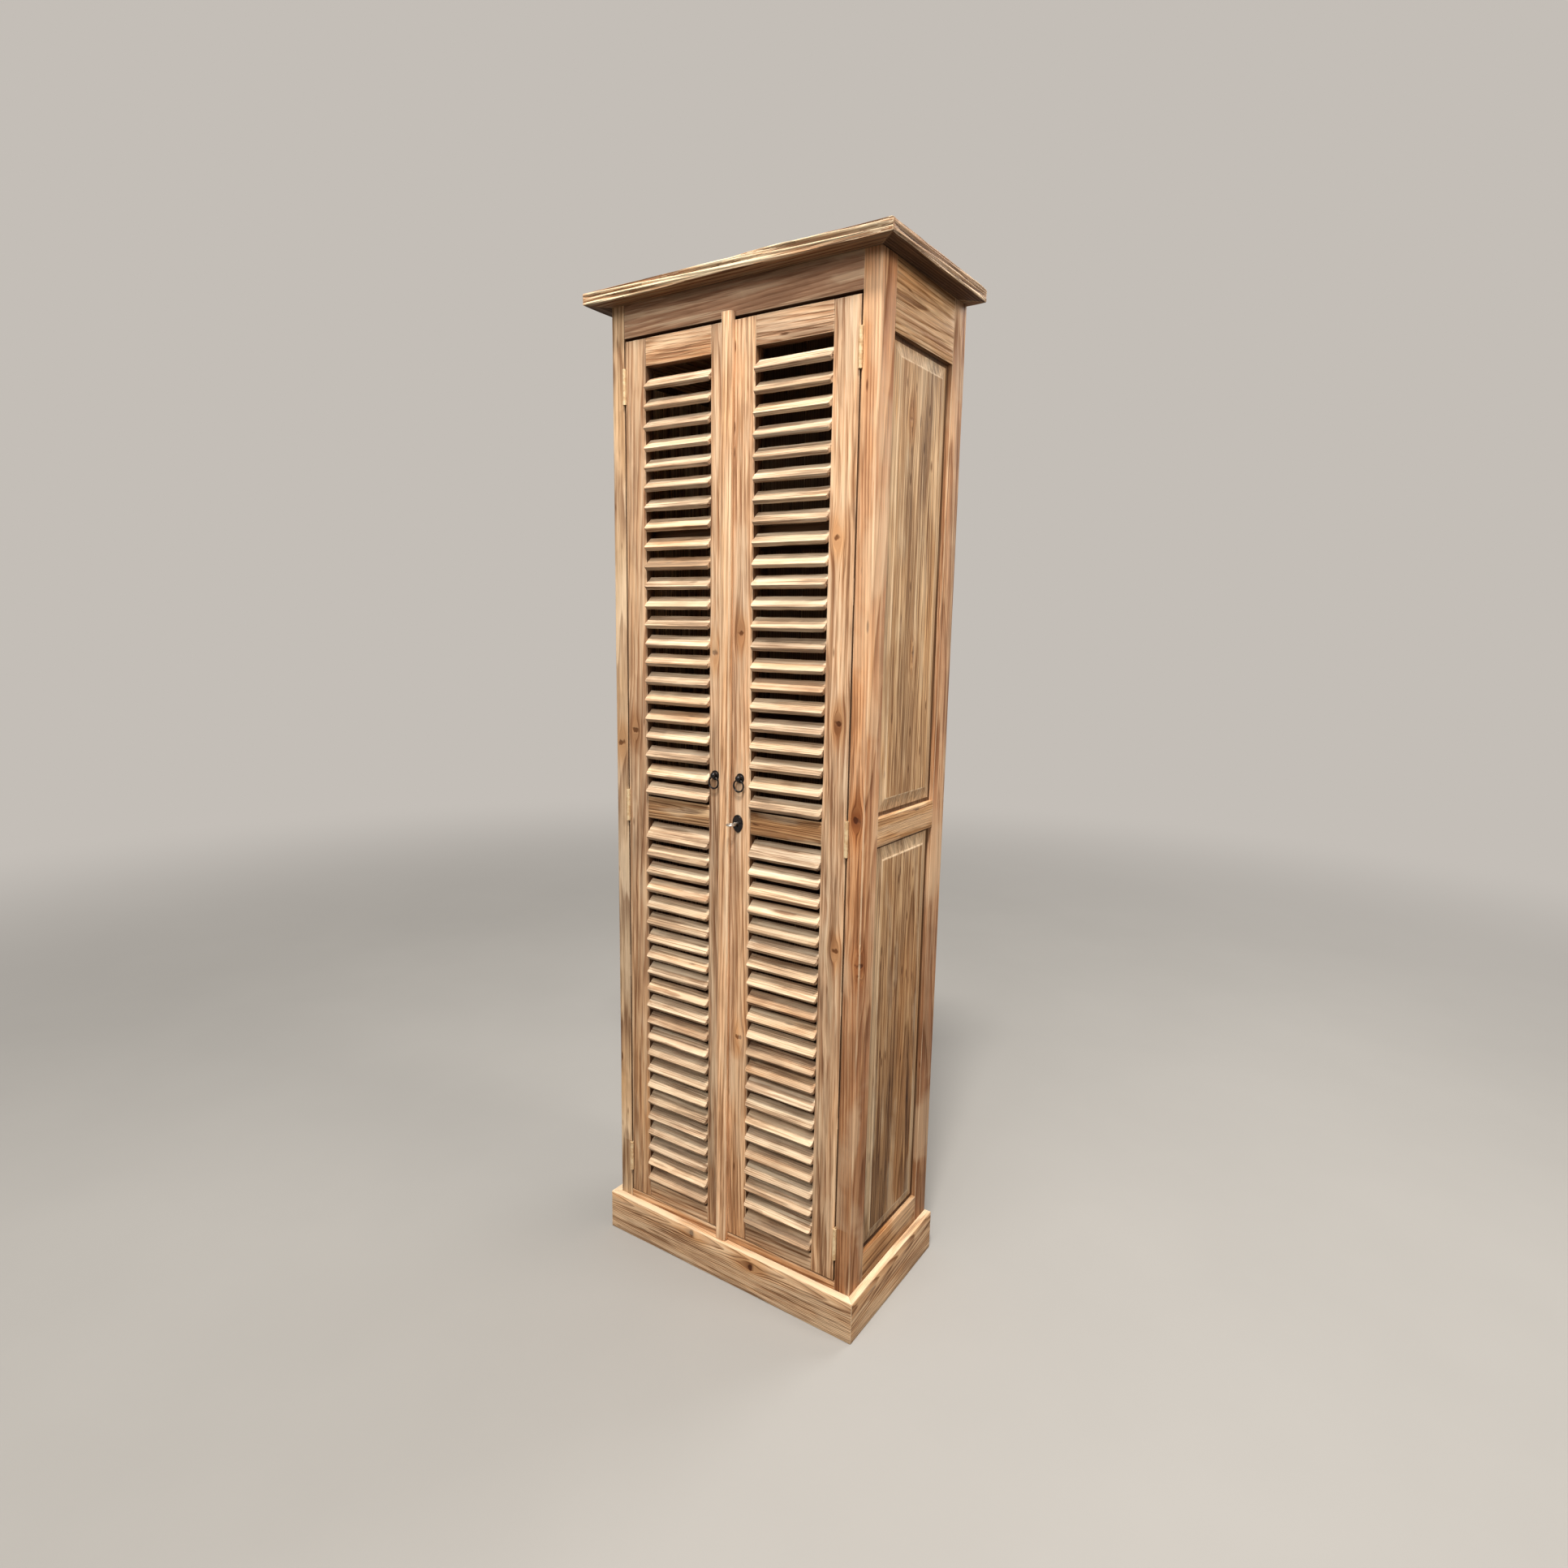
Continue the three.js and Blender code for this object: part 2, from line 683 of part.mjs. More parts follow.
// One half of a butt hinge about its own axis, its leaf lying towards +X or -X.
// The frame leaf carries the pin and the outer knuckles, the door leaf those between.
function hingeLeaf(leafSide, holdsPin) {
  const half = hingeLength / 2;
  const barrelSides = 12;
  const pinSides = 8;
  const knuckleLength = hingeLength / hingeKnuckleCount;
  const plateX = [hingeLeafSpacing / 2, hingeLeafSpacing / 2 + hingeLeafThickness];
  const plateFront = hingeBarrelRadius + jointGap;
  const plateBack = hingeAxisForward + hingeLeafWidth;
  let leaf = block(plateX, [plateFront, plateBack], [-half, half]);
  for (let i = holdsPin ? 0 : 1; i < hingeKnuckleCount; i += 2) {
    const bottom = -half + knuckleLength * i;
    const z = grown([bottom, bottom + knuckleLength], -jointGap / 2);
    const web = block(plateX, [0, plateFront + cutOverrun], z);
    leaf = leaf.add(cylinderZ(hingeBarrelRadius, z, 0, 0, barrelSides)).add(web);
  }
  const pinZ = grown([-half, half], -jointGap / 2);
  if (holdsPin) {
    leaf = leaf.add(cylinderZ(hingePinRadius, pinZ, 0, 0, pinSides));
  } else {
    const boreRadius = hingePinRadius + hingePinClearance;
    leaf = leaf.subtract(cylinderZ(boreRadius, pinZ, 0, 0, pinSides));
  }
  return leafSide > 0 ? leaf : leaf.mirror([1, 0, 0]);
}

// Ring pull: a round plate with a ball on it, bored for the ring
function pullKnob(x) {
  const ballMiddle = pullBallForward;
  const profile = [
    new THREE.Vector2(0, -pullShankLength),
    new THREE.Vector2(pullShankRadius, -pullShankLength),
    new THREE.Vector2(pullShankRadius, 0),
    new THREE.Vector2(pullPlateRadius, 0),
    new THREE.Vector2(pullPlateRadius, pullPlateThickness),
  ];
  const ballSteps = 6;
  const foot = Math.asin((pullPlateThickness - ballMiddle) / pullBallRadius);
  for (let i = 0; i <= ballSteps; i += 1) {
    const angle = foot + ((Math.PI / 2 - foot) * i) / ballSteps;
    const radius = i === ballSteps ? 0 : pullBallRadius * Math.cos(angle);
    profile.push(new THREE.Vector2(radius, ballMiddle + pullBallRadius * Math.sin(angle)));
  }
  const turns = 16;
  const geometry = new THREE.LatheGeometry(profile, turns);
  geometry.rotateZ(Math.PI);
  geometry.translate(x, 0, pullHeight);
  return solidOf(geometry).subtract(ringEye(x));
}

// The eye flares to both sides, as the ring's curve needs when it swings
function ringEye(x) {
  const halfLength = pullBallRadius;
  const steps = 4;
  const profile = [new THREE.Vector2(0, -halfLength)];
  for (let i = 0; i <= steps; i += 1) {
    const across = -halfLength + (2 * halfLength * i) / steps;
    const curve = ringRadius - Math.sqrt(ringRadius ** 2 - across ** 2);
    profile.push(new THREE.Vector2(ringWireRadius + ringEyeClearance + curve, across));
  }
  profile.push(new THREE.Vector2(0, halfLength));
  const eyeSides = 10;
  const geometry = new THREE.LatheGeometry(profile, eyeSides);
  geometry.rotateZ(Math.PI / 2);
  geometry.translate(x, -pullBallForward, pullHeight - pullEyeDrop);
  return solidOf(geometry);
}

function pullRing() {
  const wireSides = 6;
  const ringSteps = 20;
  const geometry = new THREE.TorusGeometry(ringRadius, ringWireRadius, wireSides, ringSteps);
  geometry.rotateX(Math.PI / 2);
  geometry.translate(0, 0, -ringRadius);
  return solidOf(geometry);
}

// Right half of the escutcheon's outline, from its point below to its top
const escutcheonOutlineShares = [
  [0, -1],
  [0.5, -0.72],
  [0.88, -0.36],
  [1, 0.02],
  [0.94, 0.45],
  [0.66, 0.86],
  [0.3, 1],
];

function escutcheon() {
  const rightHalf = escutcheonOutlineShares.map(([across, up]) => [
    across * escutcheonHalfWidth,
    up * (up < 0 ? escutcheonDrop : escutcheonRise),
  ]);
  const leftHalf = rightHalf.slice(1).reverse().map(([across, up]) => [-across, up]);
  const plate = extruded(outline([...rightHalf, ...leftHalf]), escutcheonThickness, towardsFront, 1);
  plate.translate(lockX, 0, lockHeight);
  return solidOf(plate).subtract(keyHole());
}

// Lock on the inside of the right door: a tray-shaped case open to the stile
const caseX = [lockX - lockCaseLeft, lockX + lockCaseRight];
const caseY = [doorThickness, doorThickness + lockCaseDepth];
const caseZ = [lockHeight - lockCaseHeight / 2, lockHeight + lockCaseHeight / 2];
const caseInnerY = [caseY[0] - cutOverrun, caseY[1] - lockCaseWall];
const boltMiddleY = (caseY[0] + caseInnerY[1]) / 2;
const boltY = [boltMiddleY - boltThickness / 2, boltMiddleY + boltThickness / 2];
const boltZ = [lockHeight - boltHeight / 2, lockHeight + boltHeight / 2];

function lockCase() {
  const inner = block(grown(caseX, -lockCaseWall), caseInnerY, grown(caseZ, -lockCaseWall));
  const slotX = [caseX[0] - cutOverrun, caseX[0] + lockCaseWall + cutOverrun];
  const slot = block(slotX, grown(boltY, jointGap), grown(boltZ, jointGap));
  const pinHole = cylinderY(
    keyShankRadius + jointGap,
    [caseInnerY[1] - cutOverrun, caseY[1] + cutOverrun],
    lockX,
    lockHeight,
  );
  return block(caseX, caseY, caseZ).subtract(inner).subtract(slot).subtract(pinHole);
}

function lockBolt() {
  return block([caseX[0] + jointGap, lockX - boltTailGap], boltY, boltZ);
}

// Key with a ring-shaped bow lying level and its bit pointing down
function lockKey() {
  const shankY = [-keyShankForward, caseY[1] - jointGap];
  const shank = cylinderY(keyShankRadius, shankY, lockX, lockHeight);
  const bitX = [lockX - keyBitThickness / 2, lockX + keyBitThickness / 2];
  const bit = block(bitX, boltY, [lockHeight - keyBitReach, lockHeight]);
  const wireSides = 6;
  const bowSteps = 16;
  const bow = new THREE.TorusGeometry(keyBowRadius, keyBowWireRadius, wireSides, bowSteps);
  bow.translate(lockX, -keyShankForward - keyBowRadius, lockHeight);
  return shank.add(bit).add(solidOf(bow));
}

// Scene graph
const cabinet = new THREE.Group();
cabinet.position.y = originShiftY;

const carcase = new THREE.Group();
cabinet.add(carcase);
addPiece(carcase, "cornice_board", corniceBoard(), corniceTeak);
[
  ["front_left_post", -1, true],
  ["front_right_post", 1, true],
  ["back_left_post", -1, false],
  ["back_right_post", 1, false],
].forEach(([name, side, isFront]) => addPiece(carcase, name, cornerPost(side, isFront), teak));
addPiece(carcase, "front_top_rail", frontTopRail(), teak);
[
  ["left", -1],
  ["right", 1],
].forEach(([sideName, side]) => {
  sideRails.forEach((rail) => {
    addPiece(carcase, `${sideName}_side_${rail.name}`, sideRail(side, rail), sideTeak);
  });
  sidePanels.forEach((panel) => {
    addPiece(carcase, `${sideName}_side_${panel.name}`, sidePanel(side, panel), sideTeak);
  });
  addPiece(carcase, `plinth_${sideName}`, plinthSide(side), plinthTeak);
});
addPiece(carcase, "plinth_front", plinthFront(), plinthTeak);
addPiece(carcase, "back_panel", backPanel(), innerTeak);
addPiece(carcase, "floor_board", floorBoard(), innerTeak);
shelfTops.forEach((top, i) => addPiece(carcase, `shelf_${i + 1}`, shelf(top), innerTeak));

// Each door hangs in a group at its hinge axis, so that turning the group opens it
function doorGroup(side) {
  const swing = new THREE.Group();
  swing.position.set(side * hingeAxisX, hingeAxisY, 0);
  const leaf = new THREE.Group();
  leaf.position.set(-side * hingeAxisX, -hingeAxisY, 0);
  swing.add(leaf);
  cabinet.add(swing);
  return { swing, leaf };
}

const leftDoor = doorGroup(-1);
const rightDoor = doorGroup(1);
[
  ["left_door", -1, leftDoor, leftInnerStile()],
  ["right_door", 1, rightDoor, rightInnerStile()],
].forEach(([doorName, side, door, innerStile]) => {
  const openingX = onSide(side, [louvreInnerX, louvreOuterX]);
  addPiece(door.leaf, `${doorName}_outer_stile`, outerStile(side), teak);
  addPiece(door.leaf, `${doorName}_inner_stile`, innerStile, teak);
  doorRails.forEach((rail) => {
    addPiece(door.leaf, `${doorName}_${rail.name}`, doorRail(openingX, rail), teak);
  });
  louvreFields.forEach((field) => {
    addPiece(door.leaf, `${doorName}_${field.name}`, louvreBank(openingX, field), louvreTeak);
  });
});
addPiece(rightDoor.leaf, "cover_strip", coverStrip(), teak);

[
  ["left", -1, leftDoor],
  ["right", 1, rightDoor],
].forEach(([sideName, side, door]) => {
  hingeHeights.forEach((height, i) => {
    const name = `${sideName}_${hingeNames[i]}_hinge`;
    const frameLeaf = addPiece(carcase, `${name}_frame_leaf`, hingeLeaf(side, true), brass);
    frameLeaf.position.set(side * hingeAxisX, hingeAxisY, height);
    const doorLeaf = addPiece(door.swing, `${name}_door_leaf`, hingeLeaf(-side, false), brass);
    doorLeaf.position.z = height;
  });
});

[
  ["left_pull", leftPullX, leftDoor],
  ["right_pull", rightPullX, rightDoor],
].forEach(([name, x, door]) => {
  addPiece(door.leaf, `${name}_knob`, pullKnob(x), blackIron);
  const ring = addPiece(door.leaf, `${name}_ring`, pullRing(), blackIron);
  ring.position.set(x, -pullBallForward, pullHeight - pullEyeDrop);
});

addPiece(rightDoor.leaf, "key_escutcheon", escutcheon(), blackIron);
addPiece(rightDoor.leaf, "lock_case", lockCase(), steel);
addPiece(rightDoor.leaf, "lock_bolt", lockBolt(), steel);
addPiece(rightDoor.leaf, "key", lockKey(), steel);

export default cabinet;
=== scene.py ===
# Louvred two-door cabinet in reclaimed teak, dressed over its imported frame. Metres, +Z up, doors face -Y.
import math
import random
import bmesh
import bpy
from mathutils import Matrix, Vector


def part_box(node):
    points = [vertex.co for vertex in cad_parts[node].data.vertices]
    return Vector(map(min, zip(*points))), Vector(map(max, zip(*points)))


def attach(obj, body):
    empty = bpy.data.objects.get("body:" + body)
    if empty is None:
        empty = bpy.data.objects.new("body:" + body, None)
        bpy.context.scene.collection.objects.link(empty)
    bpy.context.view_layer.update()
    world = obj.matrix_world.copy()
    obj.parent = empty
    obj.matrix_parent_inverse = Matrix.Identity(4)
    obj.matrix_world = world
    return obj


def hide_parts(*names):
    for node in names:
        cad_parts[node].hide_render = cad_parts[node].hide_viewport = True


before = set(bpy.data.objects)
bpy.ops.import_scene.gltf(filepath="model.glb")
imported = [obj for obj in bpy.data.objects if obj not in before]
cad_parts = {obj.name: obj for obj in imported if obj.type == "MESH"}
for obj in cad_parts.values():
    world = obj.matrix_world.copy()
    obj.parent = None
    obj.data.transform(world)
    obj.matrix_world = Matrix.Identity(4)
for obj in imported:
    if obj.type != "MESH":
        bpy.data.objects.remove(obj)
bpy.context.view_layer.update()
bodyFront = -0.159  # the posts' front face
xAxis, yAxis, zAxis = 0, 1, 2
sides = ((-1, "left"), (1, "right"))
print("frame loaded")


# Selecting and cutting, as by hand

def selectOnly(piece):
    bpy.ops.object.select_all(action="DESELECT")
    piece.select_set(True)
    bpy.context.view_layer.objects.active = piece


def editAll(piece):
    selectOnly(piece)
    bpy.ops.object.mode_set(mode="EDIT")
    bpy.ops.mesh.select_all(action="SELECT")


def pick(piece, kind, wanted):
    # edit mode, with only the wanted faces or edges selected
    editAll(piece)
    bpy.ops.mesh.select_mode(type=kind)
    bpy.ops.mesh.select_all(action="DESELECT")
    bpy.ops.object.mode_set(mode="OBJECT")
    mesh = piece.data
    for face in mesh.polygons if kind == "FACE" else ():
        face.select = wanted(face.center, face.normal)
    for edge in mesh.edges if kind == "EDGE" else ():
        edge.select = wanted(*(mesh.vertices[index].co for index in edge.vertices))
    bpy.ops.object.mode_set(mode="EDIT")


def insetPicked(piece, wanted, steps):
    # each step is the thickness and the depth of one inset
    pick(piece, "FACE", wanted)
    for thickness, depth in steps:
        bpy.ops.mesh.inset(thickness=thickness, depth=depth)
    bpy.ops.object.mode_set(mode="OBJECT")


def bevelPicked(piece, wanted, width, segments):
    pick(piece, "EDGE", wanted)
    bpy.ops.mesh.bevel(offset=width, segments=segments, affect="EDGES")
    bpy.ops.object.mode_set(mode="OBJECT")


def applyModifier(piece, modifier):
    selectOnly(piece)
    bpy.ops.object.modifier_apply(modifier=modifier.name)


def placeIntoMesh(piece):
    selectOnly(piece)
    bpy.ops.object.transform_apply(location=True, rotation=True, scale=True)


def added(name, addPrimitive, **settings):
    # a primitive, with its place, turn and size put into its mesh
    bpy.ops.object.select_all(action="DESELECT")
    addPrimitive(**settings)
    piece = bpy.context.object
    piece.name = name
    placeIntoMesh(piece)
    return piece


def sawnBlock(name, low, high):
    low, high = Vector(low), Vector(high)
    middle, size = (low + high) / 2, high - low
    return added(name, bpy.ops.mesh.primitive_cube_add, size=1, location=middle, scale=size)


def roundBar(name, radius, start, end, axis, facets=32):
    turn = {xAxis: (0, math.pi / 2, 0), yAxis: (math.pi / 2, 0, 0), zAxis: (0, 0, 0)}[axis]
    return added(
        name, bpy.ops.mesh.primitive_cylinder_add, vertices=facets, radius=radius,
        depth=abs(end[axis] - start[axis]), location=(Vector(start) + Vector(end)) / 2, rotation=turn,
    )


def doorBar(name, radius, x, z, front, back, facets=32):
    # a round bar through a door, its ends measured back from the body's front
    return roundBar(name, radius, (x, bodyFront + front, z), (x, bodyFront + back, z), yAxis, facets)


def easeEdges(piece, width, segments=2, angle=40):
    bevel = piece.modifiers.new("arris", "BEVEL")
    bevel.width = width
    bevel.segments = segments
    bevel.limit_method = "ANGLE"
    bevel.angle_limit = math.radians(angle)
    applyModifier(piece, bevel)


def ringCuts(piece, axis, cuts):
    # cuts across every edge that runs along the axis, but for the short ones at the arrises
    places = [corner.co[axis] for corner in piece.data.vertices]
    shortest = (max(places) - min(places)) / 2

    def runsAlong(start, end):
        run = end - start
        return abs(run[axis]) > max(shortest, 0.98 * run.length)

    pick(piece, "EDGE", runsAlong)
    bpy.ops.mesh.subdivide(number_cuts=cuts)
    bpy.ops.object.mode_set(mode="OBJECT")


def note(piece, name, kind, domain, values):
    # keeps values on the mesh for the materials to read
    made = piece.data.attributes.new(name, kind, domain)
    made.data.foreach_set("vector" if kind == "FLOAT_VECTOR" else "value", values)


def weather(piece, grain, depth, length=0.16, width=0.012, lean=0.0, weights=None, detail=3):
    # wears grooves into the surface along the grain, and notes how hollow each corner is
    bpy.ops.object.select_all(action="DESELECT")
    bpy.ops.object.empty_add()
    guide = bpy.context.object
    guide.scale = [length if axis == grain else width for axis in range(3)]
    guide.rotation_euler[yAxis if grain == xAxis else xAxis] = lean
    bpy.context.view_layer.update()
    grooves = bpy.data.textures.new(piece.name, "CLOUDS")
    grooves.noise_scale = 1.0
    grooves.noise_depth = detail
    before = [(corner.co.copy(), corner.normal.copy()) for corner in piece.data.vertices]
    wear = piece.modifiers.new("weather", "DISPLACE")
    wear.texture = grooves
    wear.texture_coords = "OBJECT"
    wear.texture_coords_object = guide
    wear.mid_level = 0.5
    wear.strength = depth
    if weights:
        group = piece.vertex_groups.new(name="weathered")
        for corner in piece.data.vertices:
            group.add([corner.index], weights(corner.co), "REPLACE")
        wear.vertex_group = "weathered"
    applyModifier(piece, wear)
    piece.vertex_groups.clear()
    after = [corner.co for corner in piece.data.vertices]
    hollow = [(old - new).dot(normal) / depth for (old, normal), new in zip(before, after)]
    note(piece, "hollow", "FLOAT", "POINT", hollow)
    bpy.data.objects.remove(guide)
    bpy.data.textures.remove(grooves)


def cutAway(piece, cutter):
    cut = piece.modifiers.new("cut", "BOOLEAN")
    cut.operation = "DIFFERENCE"
    cut.solver = "EXACT"
    cut.object = cutter
    applyModifier(piece, cut)
    bpy.data.objects.remove(cutter)


def joined(name, pieces):
    selectOnly(pieces[0])
    for piece in pieces:
        piece.select_set(True)
    bpy.ops.object.join()
    pieces[0].name = name
    return pieces[0]


def copyOf(piece, name):
    selectOnly(piece)
    bpy.ops.object.duplicate(linked=False)
    copy = bpy.context.object
    copy.name = name
    return copy


def tilted(piece, angle):
    piece.rotation_euler.x = angle
    placeIntoMesh(piece)
    return piece


def moved(piece, by):
    piece.location = by
    placeIntoMesh(piece)


def turnOutwards(piece):
    # makes the faces agree, and turns them all over if the piece came out inside out
    editAll(piece)
    bpy.ops.mesh.normals_make_consistent(inside=False)
    bpy.ops.object.mode_set(mode="OBJECT")
    body = bmesh.new()
    body.from_mesh(piece.data)
    insideOut = body.calc_volume(signed=True) < 0
    body.free()
    if insideOut:
        piece.data.flip_normals()


def mirrored(piece):
    piece.scale.x = -1
    placeIntoMesh(piece)
    turnOutwards(piece)


# Nodes of the materials

def paint(colour):
    # a colour as seen on screen, 0 to 255, made linear
    def linear(value):
        value /= 255
        return value / 12.92 if value <= 0.04045 else ((value + 0.055) / 1.055) ** 2.4

    return (*(linear(value) for value in colour), 1.0)


def plug(node, inputs):
    # links what is a socket, and sets what is a plain value
    for key, value in inputs.items():
        if isinstance(value, bpy.types.NodeSocket):
            node.id_data.links.new(value, node.inputs[key])
        else:
            node.inputs[key].default_value = value


def put(tree, kind, inputs=None, **settings):
    node = tree.nodes.new("ShaderNode" + kind)
    for key, value in settings.items():
        setattr(node, key, value)
    plug(node, inputs or {})
    return node


def treeOf(*values):
    # the node tree of the first value that is a socket
    return next(value.id_data for value in values if isinstance(value, bpy.types.NodeSocket))


def calc(operation, first, second=0.0, third=0.0):
    values = (first, second, third)
    return put(treeOf(*values), "Math", dict(enumerate(values)), operation=operation).outputs[0]


def times(first, second):
    return calc("MULTIPLY", first, second)


def calcVector(operation, first, second):
    inputs = {0: first, 1: second}
    return put(treeOf(first, second), "VectorMath", inputs, operation=operation).outputs[0]


def reach(vector, stretch=(1.0, 1.0, 1.0)):
    # how long a vector is once it is stretched
    stretched = calcVector("MULTIPLY", vector, stretch)
    return put(vector.id_data, "VectorMath", {0: stretched}, operation="LENGTH").outputs["Value"]


def blend(share, under, over, way="MIX"):
    inputs = {0: share, 6: under, 7: over}
    mix = put(treeOf(share, under, over), "Mix", inputs, data_type="RGBA", blend_type=way)
    return mix.outputs[2]


def tinted(colour, layers):
    # multiplies the colour by each layer's tint, where its share is 1
    for share, tint in layers:
        colour = blend(share, colour, (*tint, 1.0), "MULTIPLY")
    return colour


def noise(place, along, across, detail, roughness=0.55):
    inputs = {
        "Vector": calcVector("MULTIPLY", place, (along, across, across)),
        "Scale": 1.0,
        "Detail": detail,
        "Roughness": roughness,
    }
    return put(place.id_data, "TexNoise", inputs).outputs["Fac"]


def spread(value, low, high, newLow=0.0, newHigh=1.0):
    inputs = dict(enumerate((value, low, high, newLow, newHigh)))
    return put(value.id_data, "MapRange", inputs, interpolation_type="SMOOTHSTEP").outputs[0]


def ramp(value, stops):
    made = put(value.id_data, "ValToRGB", {0: value})
    steps = made.color_ramp.elements
    while len(steps) < len(stops):
        steps.new(0.5)
    for step, (position, colour) in zip(steps, stops):
        step.position = position
        step.color = colour
    return made.outputs[0]


def attribute(tree, name, output="Fac"):
    return put(tree, "Attribute", attribute_name=name).outputs[output]


def emptyMaterial(name):
    material = bpy.data.materials.new(name)
    material.use_nodes = True
    tree = material.node_tree
    return material, tree, tree.nodes["Principled BSDF"]


# Teak: growth rings round a core that each board carries, with streaks, knots, stains and worn edges, and
# painted shade and highlights

turnOrder = {xAxis: (0, 2, 1), yAxis: (1, 2, 0), zAxis: (2, 0, 1)}  # puts the grain first

grainNoise = {
    # how fine along and across the grain, per metre, then its detail and roughness
    "wobble": (60.0, 110.0, 2.0),
    "drift": (1.3, 6.0, 2.0),
    "ripple": (5.0, 42.0, 2.0),
    "bands": (1.2, 34.0, 3.0, 0.65),
    "streaks": (3.4, 130.0, 3.0, 0.7),
    "fibre": (16.0, 480.0, 2.0, 0.6),
    "stain": (2.6, 19.0, 4.0, 0.62),
    "patch": (1.5, 8.0, 3.0),
    "gathered": (1.1, 16.0, 2.0),
}
knotShape = {
    "across": 11.0,  # chance knots per metre across the grain
    "bendFrom": 0.05,  # metres from a knot where the grain starts to bend
    "bendFull": 0.025, "bendStretch": (0.4, 1.0, 1.0), "stretch": (1.25, 0.75, 0.75),
    "ragged": 1.8,  # this and the rest are in radii of the knot
    "middle": 0.9, "solid": 0.35, "halo": 3.2, "haloShare": 0.8,
}
speckSize = {"along": 13.0, "across": 60.0, "edge": 0.2, "solid": 0.08}
tints = {
    "band": (0.74, 0.66, 0.58),
    "line": (0.52, 0.42, 0.34),
    "stain": (0.50, 0.42, 0.36),
    "halo": (0.78, 0.60, 0.42),
    "spot": (0.34, 0.25, 0.18),
    "groove": (0.36, 0.26, 0.20),
    "grime": (0.15, 0.10, 0.07),
}


def scattered(lying, along, across, rarityShare, channel):
    # cells along and across the grain, of which only the rare ones are chosen
    place = calcVector("MULTIPLY", lying, (along, across, across))
    cell = put(lying.id_data, "TexVoronoi", {"Vector": place, "Scale": 1.0}).outputs
    lots = put(lying.id_data, "SeparateColor", {0: cell["Color"]}).outputs
    return cell, calc("GREATER_THAN", lots[channel], rarityShare)


def bentRoundKnots(lying, turnedPlace, look):
    # the grain flows past each knot as a stream flows past a post: chance knots, and one that is listed
    along, across = look["knotsPerMetre"], knotShape["across"]
    cell, chosen = scattered(lying, along, across, look["knotRarityShare"], 0)
    centre = calcVector("DIVIDE", cell["Position"], (along, across, across))
    chanceWay = calcVector("SUBTRACT", lying, centre)
    placedWay = calcVector("SUBTRACT", turnedPlace, attribute(lying.id_data, "knot", "Vector"))
    wobble = noise(lying, *grainNoise["wobble"])
    size = look["knotRadius"]
    middle, solid = size * knotShape["middle"], size * knotShape["solid"]
    bent, spots, halo = lying, 0.0, 0.0
    for way, share in ((chanceWay, chosen), (placedWay, 1.0)):
        away = reach(way, knotShape["bendStretch"])
        near = times(spread(away, knotShape["bendFrom"], knotShape["bendFull"]), share)
        past = calc("MINIMUM", calc("DIVIDE", size * size, times(away, away)), 1.0)
        aside = calcVector("MULTIPLY", way, (0.0, 1.0, 1.0))
        bent = calcVector("SUBTRACT", bent, calcVector("MULTIPLY", aside, times(near, past)))
        fromMiddle = calc("SUBTRACT", reach(way, knotShape["stretch"]), middle)
        ragged = calc("MULTIPLY_ADD", wobble, size * knotShape["ragged"], fromMiddle)
        spots = calc("MAXIMUM", spots, times(spread(ragged, middle, solid), share))
        glow = spread(away, size * knotShape["halo"], size, 0.0, knotShape["haloShare"])
        halo = calc("MAXIMUM", halo, times(glow, share))
    return bent, spots, halo


def specks(lying, look):
    # small dark tears along the grain
    cell, chosen = scattered(lying, speckSize["along"], speckSize["across"], look["speckRarityShare"], 1)
    return times(spread(cell["Distance"], speckSize["edge"], speckSize["solid"]), chosen)


def growthRings(bent, look):
    # how far through a year's ring a place is, and the ripple that bends the rings
    drift, ripple = noise(bent, *grainNoise["drift"]), noise(bent, *grainNoise["ripple"])
    along, across, deep = put(bent.id_data, "SeparateXYZ", {0: bent}).outputs
    across = calc("MULTIPLY_ADD", calc("SUBTRACT", drift, 0.5), look["drift"], across)
    flat = put(bent.id_data, "CombineXYZ", {1: across, 2: deep}).outputs[0]
    radius = calc("MULTIPLY_ADD", along, look["taper"], reach(flat))
    radius = calc("MULTIPLY_ADD", calc("SUBTRACT", ripple, 0.5), look["ripple"], radius)
    return calc("FRACT", times(radius, look["ringsPerMetre"])), ripple


